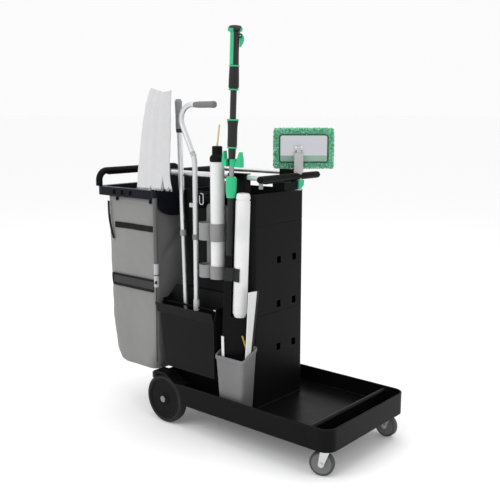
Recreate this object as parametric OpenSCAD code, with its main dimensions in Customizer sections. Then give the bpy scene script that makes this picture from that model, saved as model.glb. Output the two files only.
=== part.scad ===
// Janitor cart: a wheeled base tray with a storage tower, a waste bag and the tools it carries.
// Millimetres. +Z is up, +X points to the deck end, -X to the push bar, Z = 0 is the floor.

/* [Overall] */
// Length from the back of the push bar to the front of the deck
overall_length = 1226; // [1200:1:1300]

/* [Base tray] */
// Length of the moulded tray
base_length = 907; // [890:1:930]
// Width of the moulded tray
base_width = 522; // [516:1:560]
// Radius of the tray's plan corners
base_corner_r = 45; // [40:1:50]
// Height of the tray's lower edge above the floor
base_underside = 102; // [98:1:106]
// Height of the tray's side walls
rim_height = 81; // [72:1:90]
// Height of the deck above the tray's lower edge
deck_height = 19; // [17:1:24]
// Thickness of the deck
deck_thickness = 5; // [4:0.5:6]
// Thickness of the tray's side walls
tray_wall = 5; // [4:0.5:6]
// Distance from the front of the tray to the cross ridge
ridge_setback = 83; // [76:1:110]
// Width of the cross ridge
ridge_width = 20; // [14:1:26]
// Height of the cross ridge above the deck
ridge_height = 57; // [20:1:60]
// Height of the fenders above the tray's rim
fender_rise = 31; // [28:1:38]
// Width of each fender
fender_width = 56; // [52:1:60]
// Room between a rear wheel and its arch
arch_gap = 6; // [5:0.5:8]

/* [Rear wheels] */
// Radius of a rear wheel
wheel_r = 100; // [97:1:101]
// Width of a rear wheel
wheel_width = 40; // [34:1:42]
// Thickness of the rear tyre
tyre_thickness = 16; // [10:1:22]
// Radius of the rear axle
axle_r = 8; // [6:0.5:10]
// Distance from the back of the tray to the rear axle
axle_setback = 86; // [80:1:92]
// Radius of an axle cap
axle_cap_r = 13; // [11:0.5:18]
// Thickness of an axle cap
axle_cap_thickness = 4.7; // [4:0.1:6]

/* [Casters] */
// Radius of a caster wheel
caster_r = 45; // [40:1:46]
// Width of a caster wheel
caster_width = 28; // [22:1:30]
// Thickness of the caster tread
caster_tread = 8; // [5:1:12]
// Distance from the swivel axis to the wheel's axle
caster_trail = 18; // [14:1:22]
// Turn of the near caster about its kingpin, in degrees
near_caster_turn = 20; // [0:1:21]
// Distance from the front of the tray to the swivel axis
caster_setback = 38; // [37:0.5:42]
// Distance from the tray's side to the swivel axis
caster_inset = 45; // [44:0.5:50]
// Radius of the kingpin
kingpin_r = 6; // [5:0.5:7]
// Radius of the caster's top plate
caster_plate_r = 31; // [29:0.5:32]
// Thickness of the caster's top plate
caster_plate_thickness = 5; // [3:0.5:5]
// Thickness of the fork's sheet metal
fork_sheet = 3; // [2:0.5:4]
// Radius of the caster's axle bolt
caster_bolt_r = 5; // [4:0.5:6]

/* [Tower] */
// Length of the tower
tower_length = 377; // [366:1:384]
// Room between the tower and each side of the tray
tower_side_room = 101; // [100:1:104]
// Radius of the tower's plan corners
tower_corner_r = 22; // [16:1:30]
// Distance from the front of the tray to the tower's front face
tower_setback = 426; // [420:1:432]
// Height of the lower module
lower_height = 365; // [340:1:370]
// Height of the middle module
middle_height = 346; // [336:1:360]
// Height of the open top module
top_height = 118; // [110:1:132]
// Thickness of the module walls
tower_wall = 4; // [3:0.5:5]
// Height of the shadow groove under each upper module
seam_height = 3; // [2:0.5:5]
// Depth of the shadow groove
seam_depth = 2; // [1:0.5:2]
// Width of an accessory socket
socket_width = 25; // [20:1:30]
// Height of an accessory socket
socket_height = 28; // [22:1:34]
// Distance between the two columns of sockets
socket_pitch = 97; // [80:1:100]
// Distance between two rows of sockets
socket_row_pitch = 175; // [170:1:185]

/* [Rails and front handle] */
// Radius of the rail tubes
rail_r = 10.5; // [9:0.5:12]
// Wall of the rail tubes
rail_wall = 1.5; // [1:0.25:3]
// Distance from the tower's side to the middle of each rail
rail_inset = 10; // [8:0.5:13]
// Height of the rails above the tower's top
rail_rise = 67; // [60:1:72]
// Distance from the tower's front face to the handle's middle
handle_reach = 48; // [44:1:54]
// How far the front handle reaches past each rail
handle_overhang = 35; // [30:1:45]
// Thickness of the front handle
handle_thickness = 26; // [26:0.5:30]
// Depth of the front handle, front to back
handle_depth = 30; // [30:0.5:38]
// Depth of the sockets that take the rail ends
rail_socket = 14; // [10:0.5:16]
// Distance between two finger ridges
finger_pitch = 13; // [10:0.5:16]
// Radius of the finger ridges
finger_r = 5; // [4:0.5:6]
// Width of the bracket under the front handle
bracket_width = 82; // [70:1:84]

/* [Rear panel and bag frame] */
// Thickness of the rear panel
panel_thickness = 12; // [8:0.5:14]
// Gap between the tower's back and the rear panel
panel_gap = 60; // [50:1:64]
// Width of the panel where the bag frame joins it
panel_width = 464; // [458:1:468]
// Depth of the apron below the bag frame
apron_depth = 72; // [60:1:80]
// Width of the bag frame
frame_width = 498; // [492:1:500]
// Width of the bag frame's section
frame_section = 26; // [22:1:28]
// Height of the bag frame's section
frame_height = 36; // [30:1:40]
// Height of the bag frame's top below the rails
frame_drop = 69; // [64:1:74]
// Radius of the push bar
push_r = 14; // [12:0.5:16]
// Radius of the push bar's bends
push_bend_r = 40; // [30:1:50]

/* [Waste bag] */
// Length of the bag along the cart
bag_length = 300; // [286:1:304]
// Width of the bag across the cart
bag_width = 456; // [452:1:460]
// Height of the bag
bag_height = 725; // [600:1:760]
// Thickness of the bag's cloth wall
bag_wall = 5; // [3:0.5:8]

/* [Bottle holder and spare bottle] */
// Radius of the bottles in the holder
bottle_r = 27; // [24:0.5:29]
// Height of the spare bottle to its shoulder
bottle_height = 440; // [400:1:460]
// Play between a bottle and its cup
bottle_play = 0.8; // [0.6:0.1:1.5]
// Wall of the cups
cup_wall = 2.2; // [1.6:0.1:3]
// Distance between the two cups
cup_pitch = 58; // [54:0.5:59]
// Height of the lower cups
cup_height = 50; // [40:1:60]
// Height of the upper band
band_height = 67; // [50:1:75]
// Height of the upper band above the cups' foot
band_lift = 145; // [130:1:160]
// Radius of the yellow tube
yellow_tube_r = 3.5; // [2.5:0.25:5]

/* [Floor mop] */
// Lean of the mop towards the deck, in degrees
mop_lean = 2.3; // [1.5:0.1:2.6]
// Turn of the mop about its own axis, from the deck end towards the tower, in degrees
mop_turn = 30; // [24:1:34]
// Radius of the mop's inner tube
mop_tube_r = 9.2; // [8:0.2:9.4]
// Radius of the mop's outer tube
mop_pole_r = 11.5; // [11:0.1:12]
// Radius of the refill bottle
refill_r = 27; // [26:0.5:29]
// Height of the refill bottle
refill_height = 466; // [420:1:480]
// Radius of the hand grips
grip_r = 16.5; // [15:0.5:18]
// Radius of the trigger's pin
trigger_pin_r = 2; // [1.5:0.25:2.5]

/* [Bucket] */
// Length of the bucket at its rim
bucket_length = 145; // [140:1:150]
// Width of the bucket at its rim
bucket_width = 88; // [84:1:90]
// Height of the bucket
bucket_height = 222; // [200:1:240]
// Narrowing of the bucket towards its foot, on each side
bucket_taper = 18; // [12:1:20]
// Thickness of the bucket's wall
bucket_wall = 3; // [2:0.5:4]
// Height that the rim gains from its front to the tower
bucket_rim_rise = 40; // [36:1:42]

/* [Dustpan and cane] */
// Length of the dustpan
pan_length = 268; // [250:1:276]
// Depth of the dustpan, front to back
pan_depth = 74; // [66:1:76]
// Height of the dustpan's front
pan_height = 218; // [200:1:230]
// Height that the lip adds to the front
lip_height = 40; // [30:1:46]
// Reach of the lip in front of the pan
lip_reach = 14; // [8:1:15]
// Thickness of the dustpan's walls
pan_wall = 3; // [2.5:0.5:4]
// Radius of the pivot rod
pan_rod_r = 4; // [3:0.5:5]
// Radius of the cane's tube
cane_r = 10; // [8:0.5:11]
// Radius of the cane's upper bend
cane_bend_r = 55; // [45:1:60]
// Length of the cane's grip
cane_grip_length = 106; // [90:1:120]

/* [Telescopic pole] */
// Radius of the pole's outer tube
pole_r = 11; // [10:0.25:11.5]
// Radius of the pole's inner tube
pole_inner_r = 9; // [8:0.25:9.25]
// Length of the pole's outer tube
pole_outer_length = 405; // [380:1:420]
// Length of the pole's grip
pole_grip_length = 128; // [110:1:140]

/* [Duster] */
// Radius of the duster's rod
duster_rod_r = 9.5; // [8:0.5:10]
// Length of the duster's rod
duster_rod_length = 300; // [280:1:320]
// Height of the duster's sleeve
sleeve_height = 385; // [340:1:400]
// Width of the sleeve at its lower end
sleeve_width = 186; // [150:1:190]
// Width of the sleeve at its upper end
sleeve_top_width = 112; // [90:1:130]
// Thickness of the sleeve
sleeve_thickness = 22; // [16:1:24]

/* [Pad tool] */
// Length of the pad
pad_length = 226; // [210:1:240]
// Height of the pad
pad_height = 148; // [140:1:156]
// Thickness of the pad
pad_thickness = 16; // [10:1:20]
// Length of the aluminium plate
plate_length = 178; // [160:1:190]
// Height of the aluminium plate
plate_height = 98; // [80:1:110]
// Thickness of the aluminium plate
plate_thickness = 4; // [2:0.5:5]
// Radius of the pad tool's shaft
pad_shaft_r = 12.7; // [11:0.1:13]
// Angle that the pad's length makes with the cart's length
pad_yaw = 40; // [20:1:60]

/* [Clearances] */
// Radial clearance of running and sliding fits
running_fit = 0.05; // [0.02:0.01:0.1]
// Gap between pieces that move past each other
side_gap = 0.3; // [0.2:0.05:0.5]

/* [Hidden] */
$fn = 64;

// Places along the cart
base_front = overall_length / 2;
base_rear = base_front - base_length;
base_mid = (base_front + base_rear) / 2;
half_width = base_width / 2;
axle_x = base_rear + axle_setback;
axle_z = wheel_r;
rim_top = base_underside + rim_height;
deck_z = base_underside + deck_height;
deck_under = deck_z - deck_thickness;
fender_top = rim_top + fender_rise;
fender_inner = half_width - fender_width;
arch_r = wheel_r + arch_gap;
arch_wall = 5;
hanger_half = 18;
hanger_length = 27;
hanger_drop = 12;

// Rear wheels
hub_r = wheel_r - tyre_thickness;
wheel_y = half_width - axle_cap_thickness - side_gap - wheel_width / 2;
hub_boss_r = axle_r + 14;
hub_bore = axle_r + running_fit;

// Casters
swivel_x = base_front - caster_setback;
swivel_y = half_width - caster_inset;
caster_plate_z = deck_under - caster_plate_thickness;
crown_r = kingpin_r + 18;
race_r = kingpin_r + 10;
race_height = 6.5;
flange_r = kingpin_r + 4;
flange_height = 2.5;
crown_bottom = 2 * caster_r + 1.5 + flange_height + side_gap;
crown_top = caster_plate_z - race_height - side_gap;
fork_y = caster_width / 2 + 2;
caster_bolt_head = 4;
fork_eye_r = caster_bolt_r + 6;
screw_circle = caster_plate_r - 6;
screw_r = 3;
screw_head = 2.5;

// Tower
tower_front = base_front - tower_setback;
tower_rear = tower_front - tower_length;
tower_mid = (tower_front + tower_rear) / 2;
tower_width = base_width - 2 * tower_side_room;
tower_half = tower_width / 2;
middle_z = deck_z + lower_height;
top_z = middle_z + middle_height;
tower_top_z = top_z + top_height;
socket_first_y = -1;
socket_first_z = middle_z + 30;

// Rails, front handle and rear panel
rail_z = tower_top_z + rail_rise;
rail_y = tower_half - rail_inset;
handle_length = 2 * (rail_y + handle_overhang);
handle_x = tower_front + handle_reach;
handle_z = rail_z - 4;
handle_bottom = handle_z - handle_thickness / 2;
rail_front = handle_x - handle_depth / 2 + rail_socket;
panel_front = tower_rear - panel_gap;
panel_rear = panel_front - panel_thickness;
rear_bar_r = rail_r + 3;
rear_bar_x = panel_front - rear_bar_r + 9;
rail_rear = rear_bar_x + 2;
stub_y = handle_length / 2 - 14;
stub_drop = 20;
stub_r = 7.5;
frame_top = rail_z - frame_drop;
frame_bottom = frame_top - frame_height;
frame_rear = -overall_length / 2;
frame_corner_r = 40;
push_x = frame_rear + push_r;
push_z = rail_z - 7;
push_leg_y = frame_width / 2 - frame_section / 2;
bracket_y = -3;
bracket_left = bracket_y - bracket_width / 2;
bracket_right = bracket_y + bracket_width / 2;
bracket_drop = 34;

// Bag
bag_top = frame_bottom;
bag_front = panel_rear - 4;
bag_mid = bag_front - bag_length / 2;
bag_bottom = bag_top - bag_height;

// Bottle holder
holder_back = 5;
cup_inner_r = bottle_r + bottle_play;
cup_outer_r = cup_inner_r + cup_wall;
cup_y = -tower_half - holder_back - cup_inner_r;
cup_shift = 43.5;
cup_x = tower_mid + cup_shift;
cup_foot_z = 628;
cup_floor = 4;
holder_top = 908;
spine_corner_r = 18;
bottle_foot = cup_foot_z + cup_floor;
bottle_top = bottle_foot + bottle_height;
cap_skirt = 23;
cap_rise = 35;
cap_r = bottle_r - 7.5;

// Bucket
bucket_shift = 145.5;
bucket_x = tower_mid + bucket_shift;
bucket_rim_gap = 2;
bucket_y = -tower_half - bucket_rim_gap - bucket_width / 2;
bucket_floor = 4;
bucket_floor_z = deck_z + bucket_floor;
bucket_top = deck_z + bucket_height;
bucket_lip = 3;
bucket_lip_height = 13;
rim_slope = bucket_rim_rise / bucket_width;
rim_mid = bucket_top + bucket_rim_rise / 2;

// Floor mop, measured along its own axis from its foot point
mop_rise = 5;
mop_shift = 55;
mop_foot = [cup_x + mop_shift, bucket_y - 10, bucket_floor_z + mop_rise];
head_foot = side_gap - mop_rise;
head_half = 15;
head_rim = 214;
head_wide = 290;
head_top = 600;
head_neck = 368;
neck_half = mop_pole_r + 2;
pole_foot = 320;
pole_top = 836;
sleeve_foot = 816;
sleeve_top = 893;
sleeve_r = mop_pole_r + 9;
inner_foot = 470;
tail_foot = 949;
tail_r = mop_tube_r + 3;
shaft_r = mop_tube_r + 2.3;
lower_ring = 996;
lower_grip = 1003;
upper_shaft = 1098;
upper_ring = 1201;
upper_grip = 1208;
handle_foot = 1288;
handle_top = 1400;
mop_height = 1424;
ring_width = 5;
refill_offset = mop_pole_r + 7.5 + refill_r;
refill_neck = 26;
refill_neck_r = head_half - 3;
clip_foot = 507;
clip_height = 50;
clip_wall = 3.5;
trigger_x = grip_r + 4;
trigger_z = handle_top - 12;
trigger_half = 6;
trigger_length = 40;
mop_clip_z = 930;
mop_clip_height = 28;
horn_height = 55;
horn_reach = 51;
horn_reach_left = 43;
horn_depth = 16;
jaw_share = (mop_clip_z + mop_clip_height - tail_foot) / (lower_ring - tail_foot);
jaw_r = tail_r + (grip_r - 2 - tail_r) * jaw_share + side_gap;
jaw_wall = 10;

// Blades that stand in the bucket
blade_thickness = 4;
blade_lean = 3;
blade_height = 478;
blade_foot_half = 12;
blade_neck_half = 15;
blade_spread = 28;
strip_height = 296;
strip_lean = 1.6;

// Dustpan and cane
cane_gap = 2;
cane_x = cup_x - cup_pitch - cup_outer_r - cane_r - cane_gap;
pan_back = -tower_half - 7;
pan_front = pan_back - pan_depth;
pan_shift = 63.5;
pan_right = tower_mid + pan_shift;
pan_left = pan_right - pan_length;
pan_slant = 28;
pan_top_left = pan_left - pan_slant;
pan_foot = 242;
pan_crease = pan_foot + pan_height;
pan_back_top = pan_crease + 106;
rod_shift = 6;
rod_y0 = pan_back - pan_depth / 2 - rod_shift;
rod_z = pan_crease + 42;
rod_overhang = 3;
ferrule_height = 30;
ferrule_r = cane_r + 2;
collar_z = 770;
collar_height = 20;
cane_bend_z = 1060;
cane_lean = 27;
cane_low_r = 80;
cane_run = 118;
cane_tail = 16;
cane_low = [cane_x - cane_low_r * (1 - cos(cane_lean)), cane_bend_z + cane_low_r * sin(cane_lean)];
cane_high = cane_low + cane_run * [-sin(cane_lean), cos(cane_lean)];
cane_turn = cane_high + cane_bend_r * [cos(cane_lean), sin(cane_lean)];
cane_end_z = cane_turn[1] + cane_bend_r;
cane_clip_z = 890;

// Telescopic pole, from its foot in the pan to its lean on the near rail
pole_tip_r = 5;
pole_foot_shift = 116.5;
pole_foot_x = tower_mid - pole_foot_shift;
pole_foot_y = rod_y0 + 9;
pole_rest_shift = 170.5;
pole_rest_x = tower_mid - pole_rest_shift;
pole_foot_point = [pole_foot_x, pole_foot_y, pan_foot + pan_wall + side_gap + pole_tip_r / 8];
pole_rest = [pole_rest_x, -rail_y - rail_r - pole_r - side_gap, rail_z];
pole_axis = pole_rest - pole_foot_point;
pole_tilt = acos(pole_axis[2] / norm(pole_axis));
pole_heading = atan2(pole_axis[1], pole_axis[0]);
pole_collar = 528;
pole_collar_height = 24;
pole_inner_length = 800;

// Duster
duster_x = panel_rear + 12;
duster_clip_wall = 3.5;
duster_y = -panel_width / 2 - duster_rod_r - 1;
duster_clip_height = 34;
duster_clip_top = frame_top + 6;
duster_ferrule_foot = duster_clip_top + side_gap;
duster_foot = duster_ferrule_foot - duster_rod_length;
duster_cap_height = 94;
ferrule_length = 74;
ferrule_foot_r = duster_rod_r + 2.5;
ferrule_top_r = duster_rod_r - 1;
sleeve_foot_z = duster_ferrule_foot + 12;
sleeve_lean = 50;
sleeve_rings = 16;
sleeve_columns = 28;
fold_count = 3.5;
fold_depth = 3;

// Pad tool
pad_y = 54;
pad_collar_z = handle_z + handle_thickness / 2 + side_gap;
pad_pivot_z = pad_collar_z + 91;
pad_stem = 34;
pad_pin_r = 4;
knuckle_r = 9;
knuckle_half = 8;
plate_back = 14;
pad_shift = 20;

// Flat outline with round corners
module rounded_plan(l, w, r) {
  square([l - 2 * r, w], center = true);
  square([l, w - 2 * r], center = true);
  for (sx = [-1, 1], sy = [-1, 1])
    translate([sx * (l / 2 - r), sy * (w / 2 - r)]) circle(r);
}

// Cylinder along Y, centred
module rod_y(r, l) { rotate([90, 0, 0]) cylinder(r = r, h = l, center = true); }

// Cylinder along X, from x = 0
module rod_x(r, l) { rotate([0, 90, 0]) cylinder(r = r, h = l); }

// Solid turned about Y from a profile of radius and width
module turned_y(profile) { rotate([90, 0, 0]) rotate_extrude() polygon(profile); }

// Points of a rounded rectangle, counter-clockwise
function plan_points(l, w, r, steps = 5) = [
  for (q = [0:3], i = [0:steps])
    let (a = 90 * q + 90 * i / steps, sx = (q == 0 || q == 3) ? 1 : -1, sy = (q < 2) ? 1 : -1)
    [sx * (l / 2 - r) + r * cos(a), sy * (w / 2 - r) + r * sin(a)]
];

// Skin through sections of [height, middle x, middle y, length, width, corner radius, slope across]
module loft(sections) {
  rings = [for (s = sections) [for (p = plan_points(s[3], s[4], s[5]))
    [s[1] + p[0], s[2] + p[1], s[0] + p[1] * s[6]]]];
  n = len(rings[0]);
  last = len(rings) - 1;
  walls = [
    for (j = [0:last - 1], i = [0:n - 1])
      let (k = (i + 1) % n, a = j * n + i, b = j * n + k, c = a + n, d = b + n)
      each [[a, d, b], [a, c, d]]
  ];
  foot = [[for (i = [0:n - 1]) i]];
  lid = [[for (i = [n - 1:-1:0]) last * n + i]];
  polyhedron([for (r = rings) each r], concat(walls, foot, lid));
}

// The same sections drawn in by a wall
function drawn_in(sections, wall) = [
  for (s = sections) [s[0], s[1], s[2], s[3] - 2 * wall, s[4] - 2 * wall, max(s[5] - wall, 1), s[6]]
];

// Base tray
module base_outline(inset = 0) {
  translate([base_mid, 0])
    rounded_plan(base_length - 2 * inset, base_width - 2 * inset, base_corner_r - inset);
}

module fender(side) {
  profile = [
    [base_rear, base_underside], [base_rear, rim_top - 4], [base_rear + 25, fender_top - 10],
    [base_rear + 40, fender_top], [axle_x + 18, fender_top], [axle_x + 68, rim_top],
    [axle_x + arch_r + arch_wall, rim_top], [axle_x + arch_r + arch_wall, base_underside]
  ];
  intersection() {
    translate([0, side * (half_width - fender_width / 2) + fender_width / 2, 0])
      rotate([90, 0, 0]) linear_extrude(fender_width) polygon(profile);
    linear_extrude(fender_top + 1) base_outline();
  }
}

module base_tray() {
  color("#1c1c1e") difference() {
    union() {
      difference() {
        translate([0, 0, base_underside]) linear_extrude(rim_height) base_outline();
        translate([0, 0, deck_z]) linear_extrude(rim_height) base_outline(tray_wall);
        translate([0, 0, base_underside - 1])
          linear_extrude(deck_under - base_underside + 1) base_outline(tray_wall);
      }
      for (side = [-1, 1]) {
        fender(side);
        hanger_y = side * (fender_inner - hanger_length / 2 + arch_wall);
        translate([axle_x - hanger_half, hanger_y - hanger_length / 2, axle_z - axle_r - hanger_drop])
          cube([2 * hanger_half, hanger_length, deck_under - axle_z + axle_r + hanger_drop + 1]);
      }
      translate([base_front - ridge_setback - ridge_width, -half_width + tray_wall - 1, deck_z - 1])
        cube([ridge_width, base_width - 2 * tray_wall + 2, ridge_height + 1 - ridge_width / 2]);
      translate([base_front - ridge_setback - ridge_width / 2, 0, deck_z + ridge_height - ridge_width / 2])
        rod_y(ridge_width / 2, base_width - 2 * tray_wall + 2);
    }
    for (side = [-1, 1])
      translate([axle_x, side * (fender_inner + arch_wall + fender_width), axle_z])
        rod_y(arch_r, 2 * fender_width);
    translate([axle_x, 0, axle_z]) rod_y(axle_r, base_width);
  }
}

// Rear axle and wheels
module rear_axle() {
  color("#b9bcc0") translate([axle_x, 0, axle_z]) rod_y(axle_r, base_width - axle_cap_thickness);
}

module axle_caps() {
  color("#e4e6e8") for (side = [-1, 1])
    translate([axle_x, side * (half_width - axle_cap_thickness / 2), axle_z])
      difference() {
        rod_y(axle_cap_r, axle_cap_thickness);
        translate([0, -side * axle_cap_thickness / 2, 0]) rod_y(axle_r, axle_cap_thickness);
      }
}

module wheel_hub(side) {
  half = wheel_width / 2;
  profile = [
    [hub_bore, -half], [hub_boss_r, -half], [hub_boss_r + 6, -half + 6], [hub_r - 12, -half + 6],
    [hub_r - 6, -half + 2], [hub_r, -half + 2], [hub_r, half - 2], [hub_r - 6, half - 2],
    [hub_r - 12, half - 6], [hub_boss_r + 6, half - 6], [hub_boss_r, half], [hub_bore, half]
  ];
  color("#222224") translate([axle_x, side * wheel_y, axle_z]) turned_y(profile);
}

module wheel_tyre(side) {
  half = wheel_width / 2;
  profile = [
    [hub_r, -half + 2], [hub_r + 3, -half], [wheel_r - 7, -half + 1], [wheel_r - 2, -half + 5],
    [wheel_r, -half + 11], [wheel_r, half - 11], [wheel_r - 2, half - 5], [wheel_r - 7, half - 1],
    [hub_r + 3, half], [hub_r, half - 2]
  ];
  color("#2a2a2c") translate([axle_x, side * wheel_y, axle_z]) turned_y(profile);
}

// Casters
module caster_plates() {
  color("#b9bcc0") for (side = [-1, 1]) translate([swivel_x, side * swivel_y, 0]) {
    difference() {
      translate([0, 0, caster_plate_z]) cylinder(r = caster_plate_r, h = caster_plate_thickness);
      for (a = [45:90:315]) rotate(a) translate([screw_circle, 0, caster_plate_z - 1])
        cylinder(r = screw_r, h = caster_plate_thickness + 2);
    }
    translate([0, 0, crown_bottom - side_gap])
      cylinder(r = kingpin_r, h = caster_plate_z - crown_bottom + side_gap);
    translate([0, 0, crown_bottom - side_gap - flange_height]) cylinder(r = flange_r, h = flange_height);
  }
}

module caster_screws() {
  color("#9a9da1") for (side = [-1, 1]) translate([swivel_x, side * swivel_y, 0])
    for (a = [45:90:315]) rotate(a) translate([screw_circle, 0, 0]) {
      translate([0, 0, caster_plate_z]) cylinder(r = screw_r, h = caster_plate_thickness);
      translate([0, 0, caster_plate_z - screw_head]) cylinder(r = screw_r + 1.5, h = screw_head);
    }
}

// Frame of one caster, at its kingpin on the floor
module in_caster(side) {
  translate([swivel_x, side * swivel_y, 0]) rotate([0, 0, side < 0 ? near_caster_turn : 0]) children();
}

module fork_cheek(y0) {
  translate([0, y0 + fork_sheet, 0]) rotate([90, 0, 0]) linear_extrude(fork_sheet)
    difference() {
      union() {
        polygon([[-20, crown_top], [16, crown_top], [fork_eye_r - caster_trail, caster_r],
          [-fork_eye_r - caster_trail, caster_r]]);
        translate([-caster_trail, caster_r]) circle(fork_eye_r);
      }
      translate([-caster_trail, caster_r]) circle(caster_bolt_r);
    }
}

module caster_fork(side) {
  color("#c9ccd0") in_caster(side) difference() {
    union() {
      fork_cheek(fork_y);
      fork_cheek(-fork_y - fork_sheet);
      translate([0, 0, crown_bottom]) cylinder(r = crown_r, h = crown_top - crown_bottom);
      translate([0, 0, crown_top - 1]) cylinder(r = race_r, h = race_height + 1);
    }
    translate([0, 0, crown_bottom - 1]) cylinder(r = kingpin_r + running_fit, h = 40);
  }
}

module caster_bolt(side) {
  color("#8f9296") in_caster(side) translate([-caster_trail, 0, caster_r]) {
    rod_y(caster_bolt_r, 2 * (fork_y + fork_sheet));
    for (s = [-1, 1]) translate([0, s * (fork_y + fork_sheet + caster_bolt_head / 2), 0])
      rod_y(caster_bolt_r + 3, caster_bolt_head);
  }
}

module caster_wheel(side) {
  half = caster_width / 2;
  rim = caster_r - caster_tread;
  profile = [
    [caster_bolt_r + running_fit, -half - 1], [caster_bolt_r + 6, -half - 1], [caster_bolt_r + 8, -half + 4],
    [rim - 4, -half + 3], [rim, -half + 2], [rim, half - 2], [rim - 4, half - 3],
    [caster_bolt_r + 8, half - 4], [caster_bolt_r + 6, half + 1], [caster_bolt_r + running_fit, half + 1]
  ];
  color("#55585c") in_caster(side) translate([-caster_trail, 0, caster_r]) turned_y(profile);
}

module caster_tread(side) {
  half = caster_width / 2;
  rim = caster_r - caster_tread;
  profile = [
    [rim, -half + 2], [rim + 2, -half], [caster_r - 3, -half + 1], [caster_r, -half + 6],
    [caster_r, half - 6], [caster_r - 3, half - 1], [rim + 2, half], [rim, half - 2]
  ];
  color("#8a8d90") in_caster(side) translate([-caster_trail, 0, caster_r]) turned_y(profile);
}

// Tower
module tower_plan(inset = 0) {
  translate([tower_mid, 0])
    rounded_plan(tower_length - 2 * inset, tower_width - 2 * inset, tower_corner_r - inset);
}

module tower_module(foot, height, groove) {
  difference() {
    union() {
      translate([0, 0, foot + groove]) linear_extrude(height - groove) tower_plan();
      translate([0, 0, foot]) linear_extrude(groove + 1) tower_plan(seam_depth);
    }
    translate([0, 0, foot + tower_wall]) linear_extrude(height) tower_plan(tower_wall);
    for (column = [0, 1], row = [-1:1])
      translate([tower_front - 2 * tower_wall, socket_first_y + column * socket_pitch - socket_width / 2,
        socket_first_z + row * socket_row_pitch - socket_height / 2])
        cube([3 * tower_wall, socket_width, socket_height]);
  }
}

module tower_lower() { color("#1d1d1f") tower_module(deck_z, lower_height, seam_height); }
module tower_middle() { color("#1d1d1f") tower_module(middle_z, middle_height, seam_height); }
module tower_top() { color("#1d1d1f") tower_module(top_z, top_height, seam_height); }

// Rails
module rail(side) {
  color("#dfe1e3") translate([rail_rear, side * rail_y, rail_z]) difference() {
    rod_x(rail_r, rail_front - rail_rear);
    translate([-1, 0, 0]) rod_x(rail_r - rail_wall, rail_front - rail_rear + 2);
  }
}

module rail_clamp() {
  clamp_length = 74;
  clamp_shift = 79.5;
  clamp_x = tower_mid + clamp_shift;
  color("#1d1d1f") translate([clamp_x, rail_y, rail_z]) difference() {
    translate([0, -rail_r - 3, -rail_r - 3]) cube([clamp_length, 2 * rail_r + 6, 2 * rail_r + 6]);
    translate([-1, 0, 0]) rod_x(rail_r, clamp_length + 2);
  }
}

// Front handle: a flat bar with round edges, finger ridges below and a stub at each end
module round_bar_y(depth, thickness, length) {
  r = thickness / 2;
  offset_x = depth / 2 - r;
  for (sx = [-1, 1]) translate([sx * offset_x, 0, 0]) {
    rod_y(r, length - 2 * r);
    for (sy = [-1, 1]) translate([0, sy * (length / 2 - r), 0]) sphere(r);
  }
  if (offset_x > 0) {
    cube([2 * offset_x, length - 2 * r, thickness], center = true);
    for (sy = [-1, 1]) translate([-offset_x, sy * (length / 2 - r), 0]) rod_x(r, 2 * offset_x);
  }
}

module front_handle() {
  ridges = floor(110 / finger_pitch);
  color("#19191b") difference() {
    union() {
      translate([handle_x, 0, handle_z]) round_bar_y(handle_depth, handle_thickness, handle_length);
      for (i = [0:ridges])
        translate([handle_x - handle_depth / 3, i * finger_pitch - rail_y, handle_bottom + 1])
          rod_x(finger_r, 2 * handle_depth / 3);
      translate([handle_x, -stub_y, handle_bottom - stub_drop])
        cylinder(r = stub_r, h = stub_drop + handle_thickness / 2);
    }
    for (side = [-1, 1]) translate([rail_front - rail_socket - handle_depth, side * rail_y, rail_z])
      rod_x(rail_r, rail_socket + handle_depth);
    translate([handle_x, pad_y, handle_bottom - 10]) cylinder(r = pad_shaft_r + running_fit, h = 60);
  }
}

module handle_bracket() {
  color("#1d1d1f") {
    translate([tower_front, bracket_left, handle_bottom - bracket_drop])
      cube([handle_reach + handle_depth / 3, bracket_width, bracket_drop - finger_r]);
    translate([tower_front, bracket_left + 10, handle_bottom - finger_r - 1])
      cube([handle_reach - handle_depth / 2, bracket_width - 10, 1 + finger_r - side_gap]);
    translate([handle_x, bracket_right - 14, handle_bottom - finger_r - 1])
      cylinder(r = 10, h = 1 + finger_r);
  }
}

module pad_clip() {
  clip_top = handle_bottom - 1;
  color("#0c9a48") difference() {
    translate([handle_x - 16, bracket_right, 0]) rotate([90, 0, 90]) linear_extrude(32)
      polygon([[0, clip_top], [2 * (pad_y - bracket_right), clip_top], [30, clip_top - 20],
        [12, clip_top - 32], [0, clip_top - 32]]);
    translate([handle_x, pad_y, clip_top - 60]) cylinder(r = pad_shaft_r + side_gap, h = 70);
  }
}

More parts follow.
